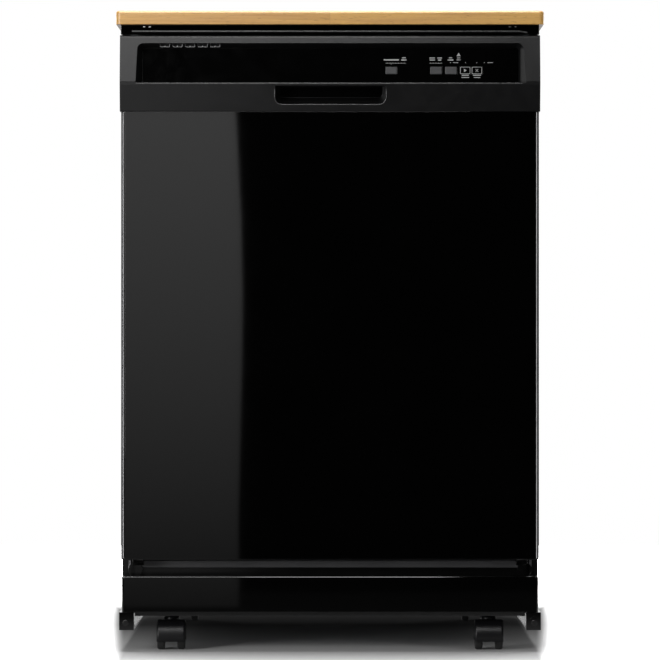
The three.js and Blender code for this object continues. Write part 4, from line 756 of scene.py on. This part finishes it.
# ---- Foot: kick panel, toe strip, bolts of the base rails, covers over the hinge knuckles ----

KICK_X, KICK_FRONT, KICK_REAR, KICK_Z = 303.5, -313, -297.2, (57.3, 109.4)
KICK_WALL = 1.3


def kick_outline(inset, rear, radius):
    x, y = KICK_X - inset, KICK_FRONT + inset
    return rounded([(-x, rear), (-x, y, radius), (x, y, radius), (x, rear)], 8)


kick = prism("z", kick_outline(0, KICK_REAR, 4), KICK_Z)
round_edges(kick, lambda p: p.y < KICK_REAR - 0.5 and p.z > 80, 2.4, 6)
cut(kick, prism("z", kick_outline(KICK_WALL, KICK_REAR + 2, 3), (KICK_Z[0] - 2, KICK_Z[1] - KICK_WALL)))
piece("kick_plate", kick, "cabinet", "black_steel", KICK_GLOSS, replaces=["kick_panel"], soft=0.2)

strip = prism("x", rounded([(-262.2, 118.6), (-266, 119.2, 1), (-266, 129.2, 1), (-262.2, 129.8)], 3),
              (-296, 296))
for hand, side in SIDES:
    rail_front = spans(f"base_rail_{hand}")[1][0]
    head = prism("y", disc((side * 297.4, 41.5), 4.8, 6), (rail_front - 1.4, rail_front + 0.1))
    piece(f"rail_bolt_{hand}", head, "cabinet", "black_steel", soft=0.4)
# the toe strip takes the lighter grey: painted light
piece("toe_strip", strip, "cabinet", "seal_rubber", TOE_LIT_GREY, soft=0)
for hand, side in SIDES:
    boss = prism("y", disc((side * 285.5, 116.5), 11, 40), (-268.4, -262.4))
    round_edges(boss, lambda p: p.y < -268, 0.8, 2)
    piece(f"hinge_boss_{hand}", boss, "cabinet", "black_steel", soft=0)

# ---- Casters: hood and stem, twin wheels ----

for name, (cx, cy) in CASTERS.items():
    turn = -1 if cy < 0 else 1
    axle = (cy + turn * WHEEL_TRAIL, WHEEL_RADIUS)
    hood = prism("x", disc(axle, 24, 72), (cx - 21.2, cx + 21.2))
    round_edges(hood, lambda p: True, 3.6, 5)
    nose = prism("x", rounded([
        (axle[0] - turn * 22.5, 20), (axle[0], 20), (axle[0] + turn * 4, 43, 6), (cy - turn * 10, 42, 7)], 6),
        (cx - 14, cx + 14))
    round_edges(nose, lambda p: abs(p.x - cx) > 13.9, 3, 3)
    boss = turned([(11, 34), (11, 46), (10.5, 47.4), (9.2, CASTER_TOP)], (cx, cy))
    fuse(hood, nose, boss)
    wells = [prism("x", disc(axle, 21.4, 72), sorted((cx + s * 8.2, cx + s * 22.5))) for s in (-1, 1)]
    below = box((cx - 24, cx + 24), (axle[0] - 30, axle[0] + 30), (-10, 12.8))
    bore = prism("x", disc(axle, 3.4, 16), (cx - 24, cx + 24))
    cut(hood, *wells, below, bore)
    stem = turned([(5.5, 46), (5.5, 68), (4, 69.5)], (cx, cy), sides=24)
    piece(f"hood_{name}", together(hood, stem), f"caster_{name}", "caster_black",
          replaces=[f"caster_hood_{name}"], soft=0.5)
    # from the bore out and over the tread, and back in along the outer face
    half = [(3, 9.2), (17.2, 9.2), (18.6, 9.6), (19.6, 10.6), (20, 12.2), (20, 17.4), (19.5, 19),
            (18.2, 20.2), (14.5, 20.2), (13.4, 19), (6, 18.6), (5, 20.2), (0, 20.2)]
    profile = [(r, -h) for r, h in half][::-1] + half
    wheels = lathe([(r, cx + h) for r, h in profile], axle, "x", 72)
    piece(f"wheels_{name}_tread", wheels, f"wheels_{name}", "tread",
          replaces=[f"caster_wheels_{name}"], soft=0)

# ---- Racks: round coated wires, tines, side bars, water tube and wheels ----

# wires, the lap of crossing wires, bends, and how far inside the outline the hoops run
WIRE_R, THIN_R, LAP, BEND, HOOP = 2.6, 1.7, 4.1, 22, 2.7
LOWER_BASKET = {"front": -226, "rear": 240, "base": 216, "rim": 336}
UPPER_BASKET = {"front": -226, "rear": 236, "base": 534, "rim": 648}
RACK_WHEELS = {"front": -163, "rear": 177}
RACK_AXLE_Z, RACK_WHEEL_X = 192.3, 245


def between(places):
    return [(a + b) / 2 for a, b in zip(places, places[1:])]


def tine(x, y, foot, height):
    top = foot + height
    return lathe([(0, foot), (2.3, foot), (2.3, top - 2.4), (1.5, top - 0.6), (0, top)], (x, y), sides=10)


def rack_wires(front, rear, base, rim):
    """U-bent wires both ways inside two hoops, and the places of the thick ones."""
    inset = HOOP + LAP
    x, y = BASKET_X - inset, (front + inset, rear - inset)
    edge = BEND + 10.8
    across, along = spread(6, y[0] + edge, y[1] - edge), spread(7, -x + edge, x - edge)
    top, wires = rim - 3, []
    for places, radius in ((across, WIRE_R), (between(across), THIN_R)):
        for v in places:
            route = [(-x, v, top), (-x, v, base + LAP), (x, v, base + LAP), (x, v, top)]
            wires.append(rod(bent(route, BEND), radius))
    for places, radius in ((along, WIRE_R), (between(along), THIN_R)):
        for u in places:
            route = [(u, y[0], top), (u, y[0], base), (u, y[1], base), (u, y[1], top)]
            wires.append(rod(bent(route, BEND), radius))
    for z in (rim - 5.4, (rim + base) / 2):
        loop = round_rect((-BASKET_X + HOOP, BASKET_X - HOOP), (front + HOOP, rear - HOOP), BEND, 6)
        wires.append(rod([(*p, z) for p in loop], WIRE_R, closed=True, sides=10))
    return wires, across, along


wires, across, along = rack_wires(**LOWER_BASKET)
foot = LOWER_BASKET["base"] + 1.4
tines = [tine(x, y, foot, 74) for x in (along[0], along[2], along[4]) for y in spread(7, -164, 178)]
lugs = []
for side in (-1, 1):
    for y in RACK_WHEELS.values():
        outline = rounded([(y - 10, 282, 4), (y - 10, 196, 6), (y - 6, 184.6, 6), (y + 6, 184.6, 6),
                           (y + 10, 196, 6), (y + 10, 282, 4)], 4)
        plate = prism("x", outline, sorted((side * 238, side * 242.8)))
        axle = turned([(3.4, side * 240), (3.4, side * 255), (2.4, side * 256)], (y, RACK_AXLE_Z), "x", 20)
        lugs += [plate, axle]
piece("lower_rack_wires", together(*wires, *tines), "lower_rack", "rack_coat",
      replaces=["lower_rack"], soft=0)
piece("lower_rack_lugs", together(*lugs), "lower_rack", "grey_plastic", soft=0.5)

for end, y in RACK_WHEELS.items():
    for hand, side in SIDES:
        # (radius, distance out from the wheel's inner plane): hub, web and rim, and back
        profile = [(3.9, 0.4), (6.5, 0.4), (6.5, 3), (12, 3), (13, 0.6), (15.2, 0.4), (16, 1.4), (16, 7.6),
                   (15.2, 8.6), (13, 8.4), (12, 6), (6.5, 6), (6.5, 8.6), (3.9, 8.6)]
        wheel = lathe([(r, side * (RACK_WHEEL_X + h)) for r, h in profile], (y, RACK_AXLE_Z), "x", 48)
        through = sorted((side * (RACK_WHEEL_X - 1), side * (RACK_WHEEL_X + 10)))
        holes = [around((y, RACK_AXLE_Z), 9.2, a) for a in turns(6)]
        cut(wheel, together(*[prism("x", disc(hole, 1.9, 14), through) for hole in holes]))
        piece(f"rack_wheel_{end}_{hand}_round", wheel, f"rack_wheel_{end}_{hand}", "grey_plastic",
              replaces=[f"rack_wheel_{end}_{hand}"], soft=0.25)

wires, across, along = rack_wires(**UPPER_BASKET)
base = UPPER_BASKET["base"]
tines = [tine(x, y, base + 1.4, 44.4) for x in (along[1], along[5]) for y in spread(6, -164, 174)]
piece("upper_rack_wires", together(*wires, *tines), "upper_rack", "rack_coat",
      replaces=["upper_rack"], soft=0)
bars = []
for side in (-1, 1):
    bar = box(sorted((side * 238, side * 251)), (-222, 232), (568, 584))
    groove = box(sorted((side * 247.5, side * 252)), (-214, 224), (572.5, 579.5))
    bars.append(cut(bar, groove))
piece("upper_rack_bars", together(*bars), "upper_rack", "nylon", soft=1.2, segments=3)
tube = prism("y", round_rect((-13, 13), (506, 521), 6, 6), (-20, 240))
round_edges(tube, lambda p: p.y < -19.9, 3, 4)
pivot = turned([(4.9, 499), (4.9, 508)], sides=24)
hangers = [box((-9, 9), (y, y + 12), (517, 535)) for y in (-14, 184)]
saddles = [box((-69.8, 69.8), (y, y + 12), (530.2, 535)) for y in (-14, 184)]
piece("upper_rack_tube", together(tube, pivot, *hangers, *saddles), "upper_rack", "grey_plastic",
      soft=1, segments=3)

# ---- Spray arms, heating rod, float, strainer in the sump, pumps ----


def spray_arm(length, bottom, bore, bore_span):
    """Two blades on a hub, with nozzles and a rib along the top of each blade."""
    top = bottom + 12
    outline = rounded([
        (-length + 10, -15, 8), (-length * 0.55, -19.2, 60), (0, -24), (length * 0.55, -19.2, 60),
        (length - 10, -15, 8), (length, 0, 9), (length - 10, 15, 8), (length * 0.55, 19.2, 60), (0, 24),
        (-length * 0.55, 19.2, 60), (-length + 10, 15, 8), (-length, 0, 9)], 5)
    arm = prism("z", outline, (bottom + 2, top - 2))
    round_edges(arm, lambda p: True, 2.6, 4)
    fuse(arm, turned([(21, bottom), (24, bottom + 3), (24, top - 3), (22.5, top - 1), (18, top)], sides=48))
    cut(arm, turned([(bore, bottom + bore_span[0]), (bore, bottom + bore_span[1])], sides=32))
    jets = []
    for side in (-1, 1):
        for k, at in enumerate((0.24, 0.41, 0.58, 0.75, 0.92)):
            place = (side * at * length, side * (5 if k % 2 else -5))
            jets.append(turned([(5, top - 4), (4, top - 0.7), (2, top - 0.2), (1.5, top - 1.6)],
                               place, sides=20))
        inner, outer = side * 30, side * (length - 26)
        rib = rounded([(inner, -1.2), (outer, -0.8), (outer, 0.8), (inner, 1.2)])
        jets.append(prism("z", rib, (top - 3, top - 1.2)))
    return together(arm, *jets)


piece("lower_arm_blades", spray_arm(222, 190, 8.4, (-1, 10)), "lower_arm", "grey_plastic",
      replaces=["lower_spray_arm"], soft=0)
piece("upper_arm_blades", spray_arm(208, 493.7, 5.4, (3, 13)), "upper_arm", "grey_plastic",
      replaces=["upper_spray_arm"], soft=0)

HEATER_Z, HEATER_R, HEATER_FOOT_Z = TROUGH_FLOOR + 11, 160, TROUGH_FLOOR + 0.3
loop = [Vector((*around((0, 0), HEATER_R, math.radians(a)), HEATER_Z)) for a in spread(73, 114, 426)]


def heater_foot(p, out):
    """The end of the loop, bent down to the floor and outwards."""
    return [Vector((p.x + out * 3.5, p.y + 7, z)) for z in (HEATER_FOOT_Z, HEATER_Z - 2)]


path = heater_foot(loop[0], -1) + loop + heater_foot(loop[-1], 1)[::-1]
nut = [(8, HEATER_FOOT_Z), (8, TROUGH_FLOOR + 3), (5, TROUGH_FLOOR + 4.5)]
feet = [turned(nut, (p.x, p.y), sides=6) for p in (path[0], path[-1])]
piece("heater_loop", together(rod(path, 3.4, sides=14), *feet), "cabinet", "stainless",
      replaces=["heating_element"], soft=0)

float_x, float_y, (low, high) = spans("float_cup")
dome = lathe([(4.4, low), (19, low), (22, low + 4), (22, low + 24), (21, low + 27), (13, high - 2),
              (11, high), (0, high), (0, low + 25), (4.4, low + 25)],
             (sum(float_x) / 2, sum(float_y) / 2), sides=48)
piece("float_dome", dome, "float", "pale_grey", replaces=["float_cup"], soft=0.3)

CUP_AT = (42, 27)
STRAINER_Z = TROUGH_FLOOR - 5
strainer = lathe([(r, STRAINER_Z + h) for r, h in (
    (11.4, 0), (87.7, 0), (87.7, 2.4), (84, 2.4), (82, 1.6), (13.5, 1.6), (12.5, 2.4), (11.4, 2.4))],
    sides=72)
cup_wall, cup_space = [turned([(r, STRAINER_Z + h) for r, h in profile], CUP_AT, sides=48) for profile in (
    ((23, -38), (27, 1), (27, 14)), ((21, -36), (25, 1), (25, 15)))]
slots = []
for a in turns(40):
    for r in (30, 52, 70):
        if math.dist(around((0, 0), r, a), CUP_AT) < 38:
            continue
        slot = spun_rect((0, 0), (r - 7, r + 7), (-1.1, 1.1), a)
        slots.append(prism("z", slot, (STRAINER_Z - 1, STRAINER_Z + 4)))
fuse(strainer, cup_wall)
cut(strainer, together(*slots), cup_space)
grip = box((17, 67), (25.4, 28.6), (STRAINER_Z + 5, STRAINER_Z + 20))
piece("strainer_cup", together(strainer, grip), "cabinet", "grey_plastic", replaces=["filter"], soft=0.3)

PUMP_Z, PUMP_WALL, PUMP_FOOT = 109, 91.3, 73.8
PUMPS = {
    "wash_pump": {"radius": 28, "length": 82, "volute": 31, "volute_wide": 26, "nozzle": 13},
    "drain_pump": {"radius": 19, "length": 52, "volute": 24, "volute_wide": 18, "nozzle": 9},
}


def pump_body(side, radius, length, volute, volute_wide, nozzle):
    """Nozzle at the sump, volute and ribbed motor along X, on one foot."""
    near = PUMP_WALL + 9
    far = near + volute_wide
    end = far + length
    profile = [(nozzle, PUMP_WALL), (nozzle, near - 2), (nozzle + 3, near), (volute - 3, near),
               (volute, near + 3), (volute, far - 3), (volute - 3, far), (radius, far + 0.5)]
    for x in (far + 8 + k * (end - far - 24) / 5 for k in range(6)):
        profile += [(radius, x), (radius - 1.6, x + 1), (radius - 1.6, x + 3), (radius, x + 4)]
    profile += [(radius, end - 6), (radius - 6, end), (9, end), (8, end - 2)]
    casing = turned([(r, side * x) for r, x in profile], (0, PUMP_Z), "x", 48)
    foot = box(sorted((side * (far + 6), side * (end - 12))), (-radius * 0.7, radius * 0.7),
               (PUMP_FOOT, PUMP_Z - radius * 0.6))
    return together(casing, foot)


for name, size in PUMPS.items():
    side = 1 if sum(spans(name)[0]) > 0 else -1
    piece(f"{name}_casing", pump_body(side, **size), "cabinet", "motor", replaces=[name], soft=0.3)

# ---- Tub: beads in the walls, seal round the mouth, rollers of the upper rack, strike of the latch ----

BEAD = 0.8
routes = []
for x in (-TUB_X - BEAD, TUB_X + BEAD):
    for z in (246, 460, 690, 800):
        routes.append([(x, TUB_FRONT + 12, z), (x, TUB_REAR - 24, z)])
for x in (-210, -140, 140, 210):
    routes.append([(x, TUB_REAR + BEAD, 210), (x, TUB_REAR + BEAD, 830)])
beads = [rod(route, 3, sides=16) for route in routes]
piece("tub_beads", together(*beads), "cabinet", "pale_grey", soft=0)


def seal_path(grow, y):
    x, top = TUB_X + 5 + grow, TUB_TOP + 5 + grow
    return bent([(-x, y, 184), (-x, y, top), (x, y, top), (x, y, 184)], 13 + grow, 8)


seal = together(*[rod(seal_path(grow, y), radius, sides=12) for grow, y, radius in (
    (5.5, -261.2, 3.0), (2.1, -260.2, 1.9), (8.9, -260.2, 1.9))])
piece("seal_bulb", seal, "cabinet", "seal_rubber", replaces=["tub_seal"], soft=0)

GUIDE_WALL, GUIDE_Y, GUIDE_Z = TUB_X - 0.3, TUB_FRONT + 26, 576
ROLLER = [(3, 245.6), (3.6, 246.2), (7.2, 246.2), (8, 247), (8, 252), (7.2, 252.8), (4, 253), (4, 269.5)]
for hand, side in SIDES:
    plate = prism("x", round_rect((GUIDE_Y - 13, GUIDE_Y + 75), (GUIDE_Z - 27.3, GUIDE_Z + 27.3), 8, 5),
                  sorted((side * (GUIDE_WALL - 3), side * GUIDE_WALL)))
    rollers = [turned([(r, side * x) for r, x in ROLLER], (y, z), "x", 32)
               for y in (GUIDE_Y, GUIDE_Y + 62) for z in (GUIDE_Z - 16.3, GUIDE_Z + 16.3)]
    piece(f"rack_guide_{hand}_rollers", together(plate, *rollers), "cabinet", "nylon",
          replaces=[f"rack_guide_{hand}"], soft=0.3)

strike_z = sum(spans("door_strike")[2]) / 2
staple = rod(bent([(-9.3, -259.5, strike_z), (-9.3, -286.6, strike_z), (9.3, -286.6, strike_z),
                   (9.3, -259.5, strike_z)], 4, 5), 1.7, sides=14)
foot_plate = prism("y", round_rect((-17, 17), (strike_z - 4, strike_z + 4), 2, 3), (-260.5, -258.3))
piece("strike_staple", together(staple, foot_plate), "cabinet", "zinc", replaces=["door_strike"], soft=0.2)

# ---- Cutlery basket: perforated walls, cells and a bridge handle ----

bx, by = spans("cutlery_basket")[:2]
bz = spans("cutlery_basket")[2][0]
BASKET_HIGH, BASKET_WALL = 118, 2.4
mid_x, top = (bx[0] + bx[1]) / 2, bz + BASKET_HIGH
column = (bx[1] - bx[0] - BASKET_WALL) / 2
pitch = (by[1] - by[0] - BASKET_WALL) / 3
basket = prism("z", round_rect(bx, by, 8, 5), (bz, top))
cells = []
for k in range(3):
    for side in (0, 1):
        a, b = bx[0] + BASKET_WALL + side * column, by[0] + BASKET_WALL + k * pitch
        cells.append(prism("z", round_rect((a, a + column - BASKET_WALL), (b, b + pitch - BASKET_WALL), 4, 3),
                           (bz + BASKET_WALL, top + 2)))
cut(basket, together(*cells))


def basket_slots(axis, places, through):
    """Four rows of upright slots through two facing walls."""
    return together(*[
        prism(axis, round_rect((at - 2.2, at + 2.2), (bz + z, bz + z + 18), 2.1, 3), grown(through, 1))
        for at in places for z in (14, 38, 62, 86)])


cut(basket, basket_slots("x", spread(16, by[0] + 14, by[1] - 14), bx))
cut(basket, basket_slots("y", spread(6, bx[0] + 13, bx[1] - 13), by))
divider = box((mid_x - 1.2, mid_x + 1.2), grown(by, -1), (bz + 1, top))
handle = prism("x", rounded([
    (by[0] + 24, top - 5), (by[0] + 24, top), (by[0] + 48, top + 34, 12), (by[1] - 48, top + 34, 12),
    (by[1] - 24, top), (by[1] - 24, top - 5), (by[1] - 40, top - 5), (by[1] - 40, top),
    (by[1] - 56, top + 24, 6), (by[0] + 56, top + 24, 6), (by[0] + 40, top), (by[0] + 40, top - 5)], 5),
    (mid_x - 4, mid_x + 4))
round_edges(handle, lambda p: p.z > top + 1, 1.6, 3)
piece("basket_cells", together(basket, divider, handle), "lower_rack", "grey_plastic",
      replaces=["cutlery_basket"], soft=0)

# ---- Dispenser in the door: sliding lid and rinse-aid cap ----

LID_Y, CAP_AT = -261.7, (56, 668)
lid = prism("y", round_rect((-62, 6), (568, 648), 4, 5), (LID_Y, LID_Y + 2.4))
round_edges(lid, lambda p: p.y > LID_Y + 2.3, 0.8, 3)
grip = prism("y", round_rect((-56, -52), (594, 622), 1.8, 4), (LID_Y + 1.4, LID_Y + 6.4))
round_edges(grip, lambda p: p.y > LID_Y + 6.3, 1.2, 3)
ridges = [prism("y", round_rect((-46 + 5 * k, -44.4 + 5 * k), (588, 628), 0.7, 2), (LID_Y + 2, LID_Y + 2.9))
          for k in range(3)]
piece("lid_plate", together(lid, grip, *ridges), "lid", "grey_plastic", replaces=["dispenser_lid"], soft=0)

cap_head = turned([(7.9, LID_Y - 5), (7.9, LID_Y), (14, LID_Y), (14, LID_Y + 6), (13, LID_Y + 7)],
                  CAP_AT, "y", 48)
notches = []
for a in turns(18):
    notches.append(prism("y", disc(around(CAP_AT, 14.6, a), 1.5, 10), (LID_Y + 0.8, LID_Y + 9)))
cut(cap_head, together(*notches))
cap_grip = prism("y", round_rect((44, 68), (666.4, 669.6), 1.5, 4), (LID_Y + 6, LID_Y + 11))
round_edges(cap_grip, lambda p: p.y > LID_Y + 10.9, 1, 3)
piece("cap_head", together(cap_head, cap_grip), "cap", "nylon", replaces=["rinse_cap"], soft=0.2)

# ---- Screws and louvres on the sheet metal ----

SCREW_R, REAR_Y = 3.6, 323.5


def screw_head(axis, at, face, out):
    """Domed screw with a cross in it, on a face at the given place."""
    head = lathe([(r, face + out * h) for r, h in (
        (0, -0.3), (SCREW_R, -0.3), (SCREW_R, 0.5), (SCREW_R * 0.72, 1.3), (0, 1.6))], at, axis, 24)
    half, depth = SCREW_R * 0.55, sorted((face + out * 0.7, face + out * 2.5))
    crosses = [prism(axis, spun_rect(at, (-half, half), (-0.4, 0.4), turn), depth)
               for turn in (0.3, 0.3 + math.pi / 2)]
    return cut(head, *crosses)


screws = [screw_head("y", (x, z), REAR_Y, 1) for x in (-296, -148, 0, 148, 296) for z in (66, 890)]
screws += [screw_head("y", (side * 296, z), REAR_Y, 1) for side in (-1, 1) for z in (270, 480, 690)]
piece("rear_screws", together(*screws), "cabinet", "zinc", BRIGHT, soft=0)
side_screws = [screw_head("x", (y, z), side * CABINET_X, side * 0.9) for side in (-1, 1)
               for y in (-240, 290) for z in (72, 884)]
piece("side_screws", together(*side_screws), "cabinet", "zinc", LOOKS["black_steel"], soft=0)
louvres = []
for x in (-200, 200):
    for z in (400 + 16 * k for k in range(7)):
        section = rounded([(REAR_Y - 0.4, z), (REAR_Y + 3, z, 0.6), (REAR_Y + 3, z + 2, 1),
                           (REAR_Y - 0.4, z + 9)], 3)
        louvres.append(prism("x", section, (x - 45, x + 45)))
piece("rear_louvres", together(*louvres), "cabinet", "black_steel", soft=0.2)

# ---- Floor, light and camera ----

VIEW_WIDTH, VIEW_DISTANCE, VIEW_HEIGHT = 0.9583, 5.5, 0.468
AMBIENT = 0.16
# whiteness of the floor close by, where it carries painted shade, and far off; half width of the painted
# shade and how softly it ends
FLOOR_NEAR_SHADE, FLOOR_FAR, SHADE_X, SHADE_SOFT = 0.52, 4.0, 0.298, 0.045
# where the painted shade ends to the front and to the back, and over what length
SHADE_FRONT, SHADE_BACK = (-0.34, 0.9), (0.45, 0.4)


def stage_plane(name, corners, material):
    mesh = bpy.data.meshes.new(name)
    mesh.from_pydata(corners, [], [tuple(range(len(corners)))])
    mesh.materials.append(material)
    obj = add(name, mesh)
    return obj


def stage_material(name):
    """Material without any node yet, and its nodes."""
    material = bpy.data.materials.new(name)
    nodes = Nodes(material)
    nodes.tree.nodes.clear()
    return material, nodes


def floor_material():
    """Pale floor that renders white round the machine's shadow, which painted shade near and under the
    footprint deepens, and dark away in front of the door.
    """
    material, nodes = stage_material("floor")
    calc = nodes.math
    seen = nodes.rays()[1]
    at = nodes.split("TexCoord", "Object")
    x, y = at["X"], at["Y"]
    # what the machine mirrors: dark in front, pale below
    plain, white = nodes.node("BsdfDiffuse"), nodes.node("BsdfDiffuse")
    nodes.link(nodes.ramp(y, -1.12, -0.1, (0.015, 0.8)), plain.inputs["Color"])
    # what the camera sees: painted shade, darkest under the machine and whiter with the distance from the
    # footprint, until it joins the backdrop
    depth = calc("ADD", calc("DIVIDE", y, VIEW_DISTANCE), 1.06)
    beside = calc("DIVIDE", calc("ABSOLUTE", x), depth)
    side = calc("DIVIDE", calc("SUBTRACT", beside, SHADE_X), SHADE_SOFT)
    ahead = calc("DIVIDE", calc("SUBTRACT", SHADE_FRONT[0], y), SHADE_FRONT[1])
    behind = calc("DIVIDE", calc("SUBTRACT", y, SHADE_BACK[0]), SHADE_BACK[1])
    away = calc("MAXIMUM", calc("MAXIMUM", side, 0.0), calc("MAXIMUM", ahead, behind))
    # painted shade: the floor grows darker from the front edge back under the machine
    near = nodes.ramp(y, -0.36, 0.18, (FLOOR_NEAR_SHADE, 0.06), "LINEAR")
    nodes.link(calc("ADD", nodes.ramp(away, 0.0, 1.0, (0.0, FLOOR_FAR)), near), white.inputs["Color"])
    mixer, out = nodes.node("MixShader"), nodes.node("OutputMaterial")
    for source, socket in zip((seen, plain.outputs[0], white.outputs[0]), mixer.inputs):
        nodes.link(source, socket)
    nodes.link(mixer.outputs[0], out.inputs["Surface"])
    return material


FLOOR_X, FLOOR_Y = (-1.5, 1.5), (-1.6, 2.4)
stage_plane("floor", [(x, y, 0) for x, y in rect(FLOOR_X, FLOOR_Y)], floor_material())

# inner edge of the soft box in (X, Z), bowed so that its reflection ends as in the photograph
BOX_Y, BOX_LEFT = -1.2, -0.7
BOX_EDGE = [(-0.1545, 0.0), (-0.1535, 0.15), (-0.1500, 0.35), (-0.1475, 0.535), (-0.1500, 0.66),
            (-0.1565, 0.77), (-0.1600, 0.84), (-0.16, 1.04), (-0.16, 1.7)]


def soft_box(name, z, strength):
    """Soft box left of the camera, brighter towards its top, of which only the reflection is seen."""
    material, nodes = stage_material(name)
    glow, out = nodes.node("Emission"), nodes.node("OutputMaterial")
    height = nodes.split("TexCoord", "Object")["Z"]
    nodes.link(nodes.ramp(height, *z, strength, "LINEAR"), glow.inputs["Strength"])
    nodes.link(glow.outputs[0], out.inputs["Surface"])
    edge = [(x, BOX_Y, level) for x, level in BOX_EDGE if z[0] <= level <= z[1]]
    panel = stage_plane(name, edge + [(BOX_LEFT, BOX_Y, z[1]), (BOX_LEFT, BOX_Y, z[0])], material)
    panel.visible_camera = panel.visible_diffuse = panel.visible_shadow = False


soft_box("soft_box", (0.0, 0.84), (0.11, 1.02))
soft_box("soft_box_top", (1.04, 1.7), (2.8, 6.6))


def lamp(name, place, target, size, watts):
    light = bpy.data.lights.new(name, "AREA")
    light.shape, light.size, light.size_y, light.energy = "RECTANGLE", size[0], size[1], watts
    obj = add(name, light)
    obj.location = place
    obj.rotation_euler = (Vector(target) - Vector(place)).to_track_quat("-Z", "Y").to_euler()
    obj.visible_camera = False
    return obj


lamp("key_left", (-1.9, -2.3, 0.8), (0, -0.2, 0.5), (0.9, 1.2), 56)
fill_right = lamp("fill_right", (2.0, -2.2, 0.7), (0, -0.2, 0.5), (0.9, 1.0), 18)
fill_right.visible_glossy = False
lamp("overhead", (0.0, -0.08, 2.6), (0, -0.08, 0.6), (1.7, 0.7), 78)
strip_light = lamp("strip", (-0.55, -1.6, 1.95), (-0.45, -0.3, 0.3), (1.6, 0.8), 60)
strip_light.visible_diffuse = False
lamp("back_left", (-2.1, 2.1, 0.8), (0, 0.3, 0.5), (1.0, 1.0), 20)
lamp("back_right", (2.1, 2.1, 0.8), (0, 0.3, 0.5), (1.0, 1.0), 20)


def studio_world():
    """White backdrop behind the machine, dim room in front of it, even ambient light."""
    world = bpy.data.worlds.new("studio")
    bpy.context.scene.world = world
    nodes = Nodes(world)
    back = nodes.tree.nodes["Background"]
    kinds, shown = nodes.rays()
    behind = nodes.ramp(nodes.split("TexCoord", "Generated")["Y"], -0.08, 0.2)
    mirrored = nodes.math("MULTIPLY", kinds["Is Glossy Ray"], behind)
    ambient = nodes.math("MULTIPLY", kinds["Is Diffuse Ray"], AMBIENT)
    total = nodes.math("ADD", nodes.math("ADD", shown, mirrored), ambient)
    nodes.link(total, back.inputs["Strength"])
    back.inputs["Color"].default_value = (1, 1, 1, 1)


studio_world()

camera = add("camera", bpy.data.cameras.new("camera"))
camera.location = (0, LIP_Y * MM - VIEW_DISTANCE, VIEW_HEIGHT)
camera.rotation_euler = (math.pi / 2, 0, 0)
camera.data.sensor_fit = "HORIZONTAL"
camera.data.angle = 2 * math.atan(VIEW_WIDTH / 2 / VIEW_DISTANCE)
bpy.context.scene.camera = camera
bpy.context.scene.view_settings.view_transform = "Standard"
